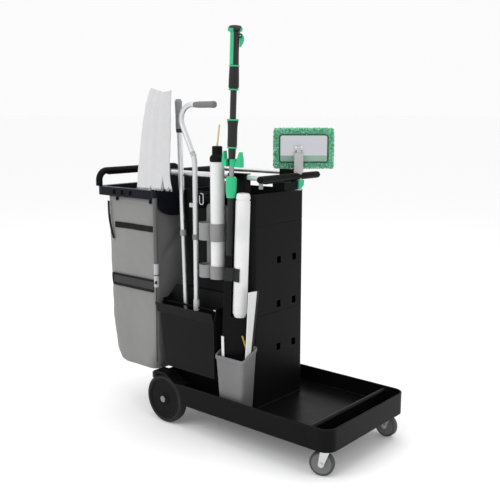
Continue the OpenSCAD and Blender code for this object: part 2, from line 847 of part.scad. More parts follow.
// Rear panel: cross bar over an apron with rounded lower corners
module rear_panel() {
  apron_half = panel_width / 2;
  corner = 102;
  low = frame_bottom - apron_depth;
  bar_half = rail_y + rear_bar_r + 3;
  round_corner = [for (a = [0:10:90])
    [apron_half - corner + corner * cos(a), frame_bottom - apron_depth * sin(a)]];
  shoulder = [[bar_half - 3, rail_z], [bar_half - 3, frame_top + 14], [apron_half, frame_top]];
  right_side = concat(shoulder, round_corner);
  left_side = [for (i = [len(right_side) - 1:-1:0]) [-right_side[i][0], right_side[i][1]]];
  arm = 36;
  color("#14161c") difference() {
    union() {
      translate([panel_rear, 0, 0]) rotate([90, 0, 90]) linear_extrude(panel_thickness)
        polygon(concat(right_side, left_side));
      translate([rear_bar_x, 0, rail_z]) round_bar_y(2 * rear_bar_r, 2 * rear_bar_r, 2 * bar_half);
      for (side = [-1, 1]) translate([panel_front - 1, side * 70 - arm / 2, low + 20])
        cube([panel_gap + 1, arm, 70]);
      translate([duster_x, duster_y, duster_clip_top - duster_clip_height])
        cylinder(r = duster_rod_r + duster_clip_wall, h = duster_clip_height);
    }
    translate([duster_x, duster_y, duster_clip_top - duster_clip_height - 1])
      cylinder(r = duster_rod_r + running_fit, h = duster_clip_height + 2);
    translate([panel_rear - arm, duster_y - arm / 2, duster_clip_top - duster_clip_height - 1])
      cube([arm, arm, duster_clip_height + 2]);
    for (side = [-1, 1]) translate([rail_rear, side * rail_y, rail_z]) rod_x(rail_r, 60);
  }
}

// Bag frame: a U around the bag's mouth, with pockets in its arms
module bag_frame() {
  span = panel_rear - frame_rear;
  plan_length = 2 * span;
  color("#15171d") difference() {
    translate([0, 0, frame_bottom]) linear_extrude(frame_height) difference() {
      translate([panel_rear, 0]) rounded_plan(plan_length, frame_width, frame_corner_r);
      translate([panel_rear, 0])
        rounded_plan(plan_length - 2 * frame_section, frame_width - 2 * frame_section,
          frame_corner_r - frame_section / 2);
      translate([panel_rear, -frame_width]) square([plan_length, 2 * frame_width]);
    }
    for (side = [-1, 1], i = [0:2])
      translate([frame_rear + 116 + 50 * i, side * (frame_width / 2 - 3) - 4, frame_bottom + 8])
        cube([24, 8, frame_height - 16]);
  }
}

module bag_studs() {
  color("#15171d") for (side = [-1, 1], x = [frame_rear + 126, panel_rear - 22])
    translate([x, side * push_leg_y, frame_bottom - 9]) {
      cylinder(r = 4, h = 9);
      translate([0, 0, -4]) sphere(6.5);
    }
}

// Push bar: a grip across the cart whose ends bend down to the bag frame
module push_bar() {
  straight = push_leg_y - push_bend_r;
  leg = push_z - push_bend_r - frame_top;
  ridges = floor(straight / finger_pitch) - 1;
  color("#17181c") {
    translate([push_x, 0, push_z]) rod_y(push_r, 2 * straight);
    for (i = [-ridges:ridges]) translate([push_x - push_r * 0.6, i * finger_pitch, push_z - push_r + 1])
      rod_x(finger_r, push_r * 1.2);
    for (side = [-1, 1]) {
      translate([push_x, side * straight, push_z - push_bend_r])
        rotate([90, 0, 90]) rotate_extrude(angle = 90, start = side > 0 ? 0 : 90)
          translate([push_bend_r, 0]) circle(push_r);
      translate([push_x, side * push_leg_y, frame_top]) cylinder(r = push_r, h = leg);
    }
  }
}

// Waste bag: an open cloth shell under the bag frame
function bag_sections() = [
  [bag_bottom, bag_mid, 0, bag_length - 83, bag_width - 56, 36, 0],
  [bag_bottom + 14, bag_mid + 1, 0, bag_length - 50, bag_width - 32, 42, 0],
  [bag_bottom + 60, bag_mid + 2, 0, bag_length - 32, bag_width - 12, 46, 0],
  [bag_bottom + bag_height * 0.3, bag_mid - 5, 0, bag_length + 2, bag_width, 44, 0],
  [bag_bottom + bag_height * 0.6, bag_mid, 0, bag_length, bag_width, 40, 0],
  [bag_top, bag_mid, 0, bag_length - 2, bag_width - 4, 34, 0]
];

module waste_bag() {
  shell = bag_sections();
  hollow = drawn_in(shell, bag_wall);
  raised = [for (i = [0:len(hollow) - 1]) let (s = hollow[i])
    [i == 0 ? s[0] + bag_wall : i == len(hollow) - 1 ? s[0] + 1 : s[0], s[1], s[2], s[3], s[4], s[5], s[6]]];
  color("#8b8a88") difference() {
    loft(shell);
    loft(raised);
  }
}

// Bottle holder: two cups and a band on a back plate
module bottle_holder() {
  plate_half = cup_pitch / 2 + cup_outer_r - 4;
  plate_mid = cup_x - cup_pitch / 2;
  color("#9b9ea1") difference() {
    union() {
      for (i = [0, 1]) translate([cup_x - i * cup_pitch, cup_y, 0]) {
        translate([0, 0, cup_foot_z]) cylinder(r = cup_outer_r, h = cup_height);
        translate([0, 0, cup_foot_z + band_lift]) cylinder(r = cup_outer_r, h = band_height);
      }
      for (z = [[cup_foot_z, cup_height], [cup_foot_z + band_lift, band_height]])
        translate([plate_mid - plate_half, -tower_half - holder_back, z[0]])
          cube([2 * plate_half, holder_back, z[1]]);
      translate([plate_mid, -tower_half, (cup_foot_z + holder_top) / 2]) rotate([90, 0, 0])
        linear_extrude(holder_back)
          rounded_plan(2 * plate_half, holder_top - cup_foot_z, spine_corner_r);
    }
    for (i = [0, 1]) translate([cup_x - i * cup_pitch, cup_y, cup_foot_z + cup_floor])
      cylinder(r = cup_inner_r, h = band_lift + band_height);
  }
}

module spare_bottle() {
  profile = [
    [0, 0], [bottle_r - 5, 0], [bottle_r - 1, 2], [bottle_r, 6], [bottle_r, bottle_height - 3],
    [bottle_r - 2, bottle_height], [0, bottle_height]
  ];
  color("#f0f1f1") translate([cup_x, cup_y, bottle_foot]) rotate_extrude() polygon(profile);
}

module spare_cap() {
  profile = [
    [yellow_tube_r, 0], [bottle_r, 0], [bottle_r + 0.5, 3], [bottle_r, cap_skirt - 4], [cap_r + 4, cap_skirt],
    [cap_r, cap_skirt + 3], [cap_r, cap_skirt + cap_rise - 3], [cap_r - 3, cap_skirt + cap_rise],
    [yellow_tube_r, cap_skirt + cap_rise]
  ];
  color("#151517") translate([cup_x, cup_y, bottle_top]) rotate_extrude() polygon(profile);
}

module yellow_tube() {
  showing = 78;
  droop = 9;
  color("#d9b233") translate([cup_x, cup_y, bottle_top]) {
    cylinder(r = yellow_tube_r, h = cap_skirt + cap_rise + 1);
    translate([0, 0, cap_skirt + cap_rise + 1]) {
      sphere(yellow_tube_r);
      rotate([0, droop, 0]) cylinder(r = yellow_tube_r, h = showing);
    }
  }
}

// Floor mop: in its own frame +Z runs up the pole and +X points to the refill bottle
module in_mop() { translate(mop_foot) rotate([0, mop_lean, 0]) rotate([0, 0, mop_turn]) children(); }

// Saddle on the near rail that carries the mop's jaws
module mop_clip() {
  lean_x = mop_foot[0] + mop_clip_z * sin(mop_lean);
  block = 46;
  block_drop = 60;
  saddle_half = rail_r + 3;
  neck = 14;
  neck_turn = 42;
  reach = -rail_y - mop_foot[1];
  saddle_end = lean_x - reach * tan(neck_turn) - neck / 2;
  saddle_length = lean_x + block / 2 - saddle_end;
  color("#1b1b1d") difference() {
    union() {
      translate([lean_x - block / 2, -rail_y - saddle_half, rail_z - block_drop])
        cube([block, 2 * saddle_half, block_drop + saddle_half]);
      translate([saddle_end, -rail_y - saddle_half, rail_z - saddle_half])
        cube([saddle_length, 2 * saddle_half, 2 * saddle_half]);
      translate([lean_x, mop_foot[1], rail_z - saddle_half]) rotate([0, 0, neck_turn])
        translate([-neck / 2, 0, 0]) cube([neck, reach / cos(neck_turn), 2 * block_drop]);
    }
    translate([saddle_end - 1, -rail_y, rail_z]) rod_x(rail_r, saddle_length + 2);
    in_mop() cylinder(r = sleeve_r + side_gap + 1, h = mop_height);
    in_mop() translate([0, 0, mop_clip_z - side_gap]) cylinder(r = 2 * saddle_length, h = 3 * block_drop);
  }
}

// Jaws that hold the mop, open towards the user, with a horn on each side
module mop_jaws() {
  outer = jaw_r + jaw_wall;
  mouth = 1.3 * jaw_r;
  horn = function (reach) [
    [outer - 6, 0], [reach, 0], [reach - 1, 0.55 * horn_height], [reach - 7, horn_height],
    [reach - 11, horn_height - 1], [outer + 5, 0.42 * horn_height], [outer - 6, 0.3 * horn_height]
  ];
  color("#0fa04c") in_mop() rotate([0, 0, -mop_turn]) translate([0, 0, mop_clip_z]) difference() {
    union() {
      cylinder(r = outer, h = mop_clip_height);
      for (side = [-1, 1]) translate([0, horn_depth / 2, 0]) rotate([90, 0, 0]) linear_extrude(horn_depth)
        polygon([for (p = horn(side < 0 ? horn_reach_left : horn_reach)) [side * p[0], p[1]]]);
    }
    translate([0, 0, -1]) cylinder(r = jaw_r, h = 2 * mop_clip_height);
    translate([-mouth / 2, -outer - 1, -1]) cube([mouth, outer + 1, 2 * mop_clip_height]);
  }
}

module mop_pole() {
  color("#3a3d41") in_mop() translate([0, 0, pole_foot]) difference() {
    cylinder(r = mop_pole_r, h = pole_top - pole_foot);
    translate([0, 0, 4]) cylinder(r = mop_tube_r + running_fit, h = pole_top);
  }
}

module mop_sleeve() {
  profile = [
    [mop_pole_r, sleeve_foot], [sleeve_r - 4.5, sleeve_foot], [sleeve_r - 3.4, sleeve_foot + 8],
    [sleeve_r - 2.5, sleeve_foot + 14], [sleeve_r - 1, sleeve_foot + 20],
    [sleeve_r, sleeve_top - 24], [sleeve_r - 1, sleeve_top - 5], [sleeve_r - 5, sleeve_top],
    [mop_tube_r + running_fit, sleeve_top],
    [mop_tube_r + running_fit, pole_top], [mop_pole_r, pole_top]
  ];
  color("#0fa04c") in_mop() rotate_extrude() polygon(profile);
}

module refill_bottle() {
  top = head_neck + refill_height;
  profile = [
    [0, head_neck - refill_neck], [refill_neck_r, head_neck - refill_neck], [refill_neck_r, head_neck],
    [refill_r - 6, head_neck], [refill_r, head_neck + 16], [refill_r, top - 28], [refill_r - 3, top - 24],
    [refill_r, top - 18], [refill_r - 2, top - 4], [refill_r - 6, top], [0, top]
  ];
  color("#f2f2f1") in_mop() translate([refill_offset, 0, 0]) rotate_extrude() polygon(profile);
}

// Clip round the refill bottle's front, fixed to the mop's neck
module refill_clip() {
  outer = refill_r + clip_wall;
  plate = 5;
  color("#242527") in_mop() translate([0, 0, clip_foot]) difference() {
    union() {
      intersection() {
        translate([refill_offset, 0, 0]) cylinder(r = outer, h = clip_height);
        translate([0, -outer, 0]) cube([refill_offset, 2 * outer, clip_height]);
      }
      translate([-neck_half, -head_half - plate, 0]) cube([refill_offset - refill_r / 2, plate, clip_height]);
    }
    translate([refill_offset, 0, -1]) cylinder(r = refill_r, h = clip_height + 2);
    translate([-60, -head_half, -1]) cube([60 + neck_half + side_gap, 4 * head_half, clip_height + 2]);
  }
}

// Folded mop head: a housing round the pole with a socket for the refill bottle
module mop_head() {
  far_edge = refill_offset + refill_r;
  profile = [
    [7, head_foot + 2.5], [52, head_foot + 2.5], [62, head_rim], [far_edge - 2, head_wide],
    [far_edge, head_neck - 8], [far_edge - 2, head_neck], [neck_half, head_neck], [neck_half, head_top],
    [-neck_half, head_top],
    [-neck_half - 2, head_neck + 40], [-neck_half - 2, head_wide], [-7, head_rim]
  ];
  color("#1e1f21") in_mop() difference() {
    translate([0, head_half, 0]) rotate([90, 0, 0]) linear_extrude(2 * head_half) polygon(profile);
    translate([0, 0, pole_foot]) cylinder(r = mop_pole_r, h = 400);
    translate([refill_offset, 0, head_neck - refill_neck]) cylinder(r = refill_neck_r, h = 400);
  }
}

// Upper mop: inner tube, tail, grips, shaft and top handle turned as one handle
module mop_upper() {
  ear = 4;
  slot = trigger_half + side_gap;
  profile = [
    [0, inner_foot], [mop_tube_r, inner_foot], [mop_tube_r, tail_foot], [tail_r, tail_foot],
    [grip_r - 2, lower_ring], [grip_r, lower_grip], [grip_r - 1, lower_grip + 45], [grip_r, upper_shaft],
    [grip_r - 2, upper_shaft + 2], [shaft_r, upper_shaft + 3], [shaft_r, upper_ring - 1],
    [grip_r, upper_ring], [grip_r, upper_grip], [grip_r - 2, upper_grip + 40],
    [grip_r, handle_foot - ring_width], [grip_r, handle_foot], [grip_r - 1, handle_foot + 40],
    [grip_r, handle_top], [grip_r + 9, handle_top + 6], [grip_r + 10, handle_top + 12],
    [grip_r + 4, mop_height - 2], [grip_r - 6, mop_height], [0, mop_height]
  ];
  color("#232427") in_mop() difference() {
    union() {
      rotate_extrude() polygon(profile);
      for (s = [-1, 1]) translate([0, s * (slot + ear / 2) - ear / 2, trigger_z - 7])
        cube([trigger_x + 5, ear, 12]);
    }
    translate([trigger_x, 0, trigger_z]) rod_y(trigger_pin_r, 60);
    translate([grip_r - 6, -slot, trigger_z - trigger_length - 6]) cube([40, 2 * slot, trigger_length + 17]);
  }
}

module mop_rings() {
  seats = [lower_ring, upper_shaft - ring_width, upper_ring, handle_foot - ring_width];
  color("#12a552") in_mop() for (z = seats)
    translate([0, 0, z]) difference() {
      cylinder(r = grip_r + 2.2, h = ring_width);
      translate([0, 0, -1]) cylinder(r = grip_r + 0.1, h = ring_width + 2);
    }
}

module mop_trigger() {
  color("#12a552") in_mop() difference() {
    union() {
      translate([trigger_x, 0, trigger_z]) rod_y(5, 2 * trigger_half);
      translate([trigger_x, trigger_half, trigger_z]) rotate([90, 0, 0]) linear_extrude(2 * trigger_half)
        polygon([[-4, 0], [4, 4], [9, -4], [10, -trigger_length + 4], [6, -trigger_length],
          [2, -trigger_length + 6]]);
    }
    translate([trigger_x, 0, trigger_z]) rod_y(trigger_pin_r + running_fit, 4 * trigger_half);
  }
}

module trigger_pin() {
  reach = 2 * trigger_half + 2 * side_gap + 8;
  color("#b9bcc0") in_mop() translate([trigger_x, 0, trigger_z]) rod_y(trigger_pin_r, reach);
}

// Bucket and the two blades that stand in it
function bucket_sections() = [
  [deck_z, bucket_x, bucket_y, bucket_length - 2 * bucket_taper, bucket_width - bucket_taper, 12, 0],
  [rim_mid - bucket_lip_height - 1, bucket_x, bucket_y,
    bucket_length - 2 * bucket_lip, bucket_width - 4, 12, rim_slope],
  [rim_mid - bucket_lip_height, bucket_x, bucket_y, bucket_length, bucket_width, 13, rim_slope],
  [rim_mid, bucket_x, bucket_y, bucket_length, bucket_width, 13, rim_slope]
];

module bucket() {
  wide = bucket_length - 2 * bucket_lip - 2 * bucket_wall;
  deep = bucket_width - 4 - 2 * bucket_wall;
  hollow = [
    [bucket_floor_z, bucket_x, bucket_y, bucket_length - 2 * bucket_taper - 2 * bucket_wall,
      bucket_width - bucket_taper - 2 * bucket_wall, 9, 0],
    [rim_mid - bucket_lip_height, bucket_x, bucket_y, wide, deep, 9, rim_slope],
    [rim_mid + 1, bucket_x, bucket_y, wide, deep, 9, rim_slope]
  ];
  color("#909396") difference() {
    loft(bucket_sections());
    loft(hollow);
  }
}

module blades() {
  inner_half = bucket_length / 2 - bucket_taper - bucket_wall;
  near_wall = bucket_width / 2 - bucket_taper / 2 - bucket_wall;
  blade_far = blade_neck_half + 6;
  color("#f4f4f3") {
    translate([bucket_x + inner_half - blade_thickness - 1, bucket_y, bucket_floor_z + side_gap])
      rotate([0, blade_lean, 0]) rotate([90, 0, 90]) linear_extrude(blade_thickness)
        polygon([[-blade_foot_half, side_gap], [blade_far - 1, side_gap], [blade_far, bucket_height],
          [blade_neck_half + blade_spread, blade_height - 3], [-blade_neck_half + 2, blade_height],
          [-blade_neck_half, bucket_height]]);
    translate([bucket_x - inner_half + 8, bucket_y - near_wall + 5, bucket_floor_z + side_gap])
      rotate([strip_lean, 0, 0]) cube([12, 3, strip_height]);
  }
}

// Dustpan: an open scoop with a flared lip, hung on its pivot rod
module dustpan() {
  outline = [[pan_left, pan_foot], [pan_right, pan_foot], [pan_right, pan_crease],
    [pan_top_left, pan_crease]];
  inside = [[pan_left + pan_wall, pan_foot + pan_wall], [pan_right - pan_wall, pan_foot + pan_wall],
    [pan_right - pan_wall, pan_back_top + 1], [pan_top_left + pan_wall, pan_back_top + 1],
    [pan_top_left + pan_wall, pan_crease]];
  lip = [[0, 0], [-lip_reach, lip_height], [-lip_reach + 2, lip_height + 2], [pan_wall, 2], [pan_wall, 0]];
  back = [[pan_top_left, pan_crease - 1], [pan_right, pan_crease - 1], [pan_right, pan_back_top],
    [pan_top_left + 20, pan_back_top], [pan_top_left, pan_back_top - 30]];
  cheek = [[pan_front, pan_crease - 1], [pan_front, pan_crease + 4], [rod_y0 - 14, rod_z + 14],
    [rod_y0 + 12, rod_z + 14], [pan_back - 1, pan_back_top - 30], [pan_back - 1, pan_crease - 1]];
  lip_overhang = 14;
  color("#1b1b1d") difference() {
    union() {
      difference() {
        translate([0, pan_back, 0]) rotate([90, 0, 0]) linear_extrude(pan_depth) polygon(outline);
        translate([0, pan_back - pan_wall, 0]) rotate([90, 0, 0])
          linear_extrude(pan_depth - 2 * pan_wall) polygon(inside);
      }
      translate([0, pan_back, 0]) rotate([90, 0, 0]) linear_extrude(pan_wall) polygon(back);
      for (x = [pan_top_left, pan_right - pan_wall])
        translate([x, 0, 0]) rotate([90, 0, 90]) linear_extrude(pan_wall) polygon(cheek);
      translate([pan_top_left - lip_overhang, pan_front, pan_crease - 1]) rotate([90, 0, 90])
        linear_extrude(pan_right - pan_top_left + lip_overhang) polygon(lip);
    }
    translate([pan_top_left - 5, rod_y0, rod_z]) rod_x(pan_rod_r + running_fit, pan_length + pan_slant + 10);
  }
}

module pan_rod() {
  foot = pan_top_left - rod_overhang;
  color("#c9ccd0") difference() {
    translate([foot, rod_y0, rod_z]) rod_x(pan_rod_r, pan_right + rod_overhang - foot);
    translate([cane_x, rod_y0, rod_z - pan_rod_r - 1]) cylinder(r = ferrule_r, h = 2 * pan_rod_r + 2);
  }
}

// Cane: one tube swept along stops of [x, z, heading], and its fittings
function cane_route() = concat(
  [[cane_x, rod_z + 14, 90]],
  [for (i = [0:4]) let (a = cane_lean * i / 4)
    [cane_x + cane_low_r * (cos(a) - 1), cane_bend_z + cane_low_r * sin(a), 90 + a]],
  [for (i = [0:10]) let (b = 180 + cane_lean - (90 + cane_lean) * i / 10)
    [cane_turn[0] + cane_bend_r * cos(b), cane_turn[1] + cane_bend_r * sin(b), b - 90]],
  [[cane_turn[0] + cane_tail, cane_end_z, 0]]
);

module cane_tube() {
  sides = 20;
  route = cane_route();
  last = len(route) - 1;
  points = [
    for (stop = route, i = [0:sides - 1])
      let (a = 360 * i / sides, out = cane_r * cos(a))
      [stop[0] - out * sin(stop[2]), rod_y0 - cane_r * sin(a), stop[1] + out * cos(stop[2])]
  ];
  walls = [
    for (j = [0:last - 1], i = [0:sides - 1])
      let (k = (i + 1) % sides, a = j * sides + i, b = j * sides + k, c = a + sides, d = b + sides)
      each [[a, b, d], [a, d, c]]
  ];
  foot = [[for (i = [sides - 1:-1:0]) i]];
  end = [[for (i = [0:sides - 1]) last * sides + i]];
  color("#d3d5d7") polyhedron(points, concat(walls, foot, end));
}

module cane_fittings() {
  grip_wall = 3;
  full = cane_r + grip_wall;
  grip = [
    [0, 0], [full - 2.5, 0], [full - 1, 24], [full - 1, cane_grip_length - 30], [full, cane_grip_length - 10],
    [full - 1, cane_grip_length - 3], [full - 5, cane_grip_length], [0, cane_grip_length]
  ];
  color("#8d9093") {
    translate([cane_turn[0] + cane_tail, rod_y0, cane_end_z]) rotate([0, 90, 0]) rotate_extrude() polygon(grip);
    translate([cane_x, rod_y0, collar_z]) difference() {
      cylinder(r = cane_r + 2.5, h = collar_height);
      translate([0, 0, -1]) cylinder(r = cane_r, h = collar_height + 2);
    }
    translate([cane_x, rod_y0, rod_z - 12]) difference() {
      cylinder(r = ferrule_r, h = ferrule_height + 12);
      translate([0, 0, 26]) cylinder(r = cane_r, h = ferrule_height);
    }
  }
}

module cane_clip() {
  clip_left = 22;
  clip_right = cane_r + 4;
  clip_height = 22;
  color("#e6e7e8") difference() {
    translate([cane_x - clip_left, rod_y0 + 2, cane_clip_z])
      cube([clip_left + clip_right, -tower_half - rod_y0 - 2, clip_height]);
    translate([cane_x, rod_y0, cane_clip_z - 1]) cylinder(r = cane_r, h = clip_height + 2);
  }
}

// Telescopic pole
module in_pole() {
  translate(pole_foot_point) rotate([0, 0, pole_heading]) rotate([0, pole_tilt, 0]) children();
}

module pole_lower() {
  taper = 24;
  color("#cfd1d3") in_pole() {
    cylinder(r1 = pole_tip_r, r2 = pole_inner_r, h = taper);
    translate([0, 0, taper]) cylinder(r = pole_inner_r, h = pole_inner_length - taper);
  }
}

module pole_upper() {
  top = pole_collar + pole_outer_length;
  end = top + pole_grip_length;
  bore = pole_inner_r + running_fit;
  profile = [
    [bore, pole_collar], [pole_r + 2, pole_collar], [pole_r + 2, pole_collar + pole_collar_height - 4],
    [pole_r, pole_collar + pole_collar_height], [pole_r, top], [pole_r + 2, top], [pole_r + 2, end - 6],
    [pole_r - 1, end], [0, end], [0, end - 14], [bore, end - 14]
  ];
  color("#c6c8ca") in_pole() rotate_extrude() polygon(profile);
}

// Duster
module duster_rod() {
  color("#8b8e91") translate([duster_x, duster_y, 0]) difference() {
    union() {
      translate([0, 0, duster_foot]) cylinder(r = duster_rod_r, h = duster_rod_length);
      translate([0, 0, duster_foot - duster_cap_height])
        cylinder(r = duster_rod_r + 0.5, h = duster_cap_height);
      translate([0, 0, duster_ferrule_foot])
        cylinder(r1 = ferrule_foot_r, r2 = ferrule_top_r, h = ferrule_length);
    }
    translate([0, 0, duster_foot - duster_cap_height + 16]) rod_y(3.5, 40);
  }
}

// Sleeve: a flat cloth bag over the duster whose two faces wave together in upright folds
function sleeve_edge(t, side) =
  let (low = side < 0 ? -sleeve_width / 2 - 8 : sleeve_width / 2 - 8,
    high = sleeve_lean + side * sleeve_top_width / 2)
  low + (high - low) * pow(t, side < 0 ? 1.6 : 0.9);

function sleeve_point(t, u, face) =
  let (x = sleeve_edge(t, -1) * (1 - u) + sleeve_edge(t, 1) * u,
    body = sleeve_thickness / 2 * pow(max(sin(180 * u), 0), 0.5) * (1 - 0.25 * t),
    fold = fold_depth * sin(360 * fold_count * u + 70 * t) * sin(180 * u),
    hem = 4 * u * (1 - t) * (1 - t))
  [x, fold + face * body, sleeve_height * t + hem];

module duster_sleeve() {
  n = 2 * sleeve_columns;
  points = [
    for (j = [0:sleeve_rings]) let (t = j / sleeve_rings) each [
      for (i = [0:sleeve_columns]) sleeve_point(t, i / sleeve_columns, -1),
      for (i = [sleeve_columns - 1:-1:1]) sleeve_point(t, i / sleeve_columns, 1)
    ]
  ];
  walls = [
    for (j = [0:sleeve_rings - 1], i = [0:n - 1])
      let (k = (i + 1) % n, a = j * n + i, b = j * n + k, c = a + n, d = b + n)
      each [[a, d, b], [a, c, d]]
  ];
  last = sleeve_rings * n;
  strip = function (i) (n - i) % n;
  foot = [for (i = [0:sleeve_columns - 1]) each [[i, i + 1, strip(i)], [i + 1, strip(i + 1), strip(i)]]];
  caps = [for (f = foot) if (f[0] != f[1] && f[1] != f[2] && f[0] != f[2]) f];
  lids = [for (f = caps) [last + f[2], last + f[1], last + f[0]]];
  color("#fafafa") translate([duster_x, duster_y, sleeve_foot_z]) difference() {
    polyhedron(points, concat(walls, caps, lids));
    translate([0, 0, duster_ferrule_foot - sleeve_foot_z])
      cylinder(r1 = ferrule_foot_r, r2 = ferrule_top_r, h = ferrule_length);
  }
}

// Pad tool
module in_pad() { translate([handle_x, pad_y, pad_pivot_z]) rotate([0, 0, pad_yaw]) children(); }

module pad_shaft() {
  clip_low = handle_bottom - 40;
  color("#9a9da0") {
    translate([handle_x, pad_y, clip_low]) cylinder(r = pad_shaft_r, h = pad_collar_z - clip_low);
    translate([0, 0, pad_collar_z - pad_pivot_z]) in_pad() {
      translate([-pad_stem / 2, -12, 0]) cube([pad_stem, 24, pad_pivot_z - pad_collar_z - 16]);
    }
    in_pad() difference() {
      union() {
        translate([-knuckle_half, -knuckle_r, -17]) cube([2 * knuckle_half, 2 * knuckle_r, 17]);
        translate([-knuckle_half, 0, 0]) rod_x(knuckle_r, 2 * knuckle_half);
      }
      translate([-20, 0, 0]) rod_x(pad_pin_r + running_fit, 40);
    }
  }
}

module pad_plate() {
  ear = 6;
  color("#d9dbdc") in_pad() {
    translate([pad_shift, plate_back + plate_thickness, 0]) rotate([90, 0, 0])
      linear_extrude(plate_thickness) rounded_plan(plate_length, plate_height, 8);
    for (s = [-1, 1]) translate([s * (knuckle_half + side_gap + ear / 2) - ear / 2, 0, 0]) {
      rod_x(knuckle_r, ear);
      translate([0, 0, -knuckle_r]) cube([ear, plate_back + 1, 2 * knuckle_r]);
    }
    translate([-knuckle_half - side_gap - 1, 0, 0]) rod_x(pad_pin_r, 2 * knuckle_half + 2 * side_gap + 2);
  }
}

module pad_cloth() {
  color("#1fa85a") in_pad() translate([pad_shift, plate_back + plate_thickness + pad_thickness, 0])
    rotate([90, 0, 0]) linear_extrude(pad_thickness) rounded_plan(pad_length, pad_height, 14);
}

base_tray();
rear_axle();
axle_caps();
wheel_hub(-1);  // near_wheel_hub
wheel_tyre(-1);  // near_wheel_tyre
wheel_hub(1);  // far_wheel_hub
wheel_tyre(1);  // far_wheel_tyre
caster_plates();
caster_screws();
caster_fork(-1);  // near_caster_fork
caster_bolt(-1);  // near_caster_bolt
caster_wheel(-1);  // near_caster_wheel
caster_tread(-1);  // near_caster_tread
caster_fork(1);  // far_caster_fork
caster_bolt(1);  // far_caster_bolt
caster_wheel(1);  // far_caster_wheel
caster_tread(1);  // far_caster_tread
tower_lower();
tower_middle();
tower_top();
rail(-1);  // near_rail
rail(1);  // far_rail
rail_clamp();
front_handle();
handle_bracket();
pad_clip();
rear_panel();
bag_frame();
bag_studs();
push_bar();
waste_bag();
bottle_holder();
spare_bottle();
spare_cap();
yellow_tube();
mop_clip();
mop_jaws();
mop_pole();
mop_sleeve();
refill_bottle();
refill_clip();
mop_head();
mop_upper();
mop_rings();
mop_trigger();
trigger_pin();
bucket();
blades();
dustpan();
pan_rod();
cane_tube();
cane_fittings();
cane_clip();
pole_lower();
pole_upper();
duster_rod();
duster_sleeve();
pad_shaft();
pad_plate();
pad_cloth();
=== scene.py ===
"""Looks of the janitor cart: finishes for its solids, its cloth pieces and its small trim.

Everything is in metres in the cart's own frame: Z is up, +X points to the deck and the tools hang on -Y.
"""

import logging
import math
import random
from dataclasses import dataclass, field
from enum import Enum
from functools import lru_cache
from typing import Any, ClassVar, Iterable, NamedTuple, Sequence

import bmesh
import bpy
from mathutils import Matrix, Vector, noise
from mathutils.bvhtree import BVHTree


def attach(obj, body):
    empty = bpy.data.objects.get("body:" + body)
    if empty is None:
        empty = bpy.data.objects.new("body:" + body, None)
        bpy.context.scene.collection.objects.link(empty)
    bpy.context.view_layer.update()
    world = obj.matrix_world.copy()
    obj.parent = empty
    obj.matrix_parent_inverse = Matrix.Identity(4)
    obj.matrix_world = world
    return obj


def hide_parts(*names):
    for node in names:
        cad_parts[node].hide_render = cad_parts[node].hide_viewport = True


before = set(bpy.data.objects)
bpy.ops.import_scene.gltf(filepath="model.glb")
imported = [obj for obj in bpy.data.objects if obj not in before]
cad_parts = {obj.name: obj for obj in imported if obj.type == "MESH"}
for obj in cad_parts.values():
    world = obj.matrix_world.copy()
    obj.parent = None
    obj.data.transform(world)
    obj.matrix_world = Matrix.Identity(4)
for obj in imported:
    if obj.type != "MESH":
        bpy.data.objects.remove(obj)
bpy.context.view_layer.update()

LOG = logging.getLogger("janitor_cart")

Pair = tuple[float, float]
Triple = tuple[float, float, float]
Profile = tuple[Pair, ...]
Colour = Triple
Ring = list[Vector]

PURE_WHITE: Colour = (1.0, 1.0, 1.0)
FULL_TURN = 2.0 * math.pi
QUARTER_TURN = math.pi / 2.0
TINY = 1e-9
# Sharp-edge angle, in degrees, of a piece that has no sharp edges
ALL_SMOOTH = 180.0
# Angles at which the rounded end of a tube has rings
ROUND_END = (0.5, 1.0, 1.4)
# Points round a tuft of pile, and its size at the root, the bend and the tip
TUFT_SIDES = 5
TUFT_SIZES = (0.8, 1.0, 0.4)
# A screw head from its rim to its socket, out and up as shares of its radius
SCREW_PROFILE = ((1.0, 0.0), (1.0, 0.25), (0.8, 0.5), (0.45, 0.6), (0.4, 0.35), (0.02, 0.35))
# Turns a plate's X, Y and Z to the cart's Y, Z and X
UPRIGHT = Matrix(((0.0, 0.0, 1.0, 0.0), (1.0, 0.0, 0.0, 0.0), (0.0, 1.0, 0.0, 0.0), (0.0, 0.0, 0.0, 1.0)))
# Streaks in a metre of drawn metal, along the draw and across it
ALONG = 30.0
ACROSS = 900.0
# Samples of a rounded edge, and how fast its wear grows as the normal turns
EDGE_SAMPLES = 4
EDGE_GAIN = 5.0
# Numbers of a Mix node's sockets for colours: factor, first, second and result
MIX_FACTOR = 0
MIX_FIRST = 6
MIX_SECOND = 7
MIX_RESULT = 2


class Axis(Enum):
    """Direction in which a metal part was drawn or brushed."""

    X = (ALONG, ACROSS, ACROSS)
    Y = (ACROSS, ALONG, ACROSS)
    Z = (ACROSS, ACROSS, ALONG)


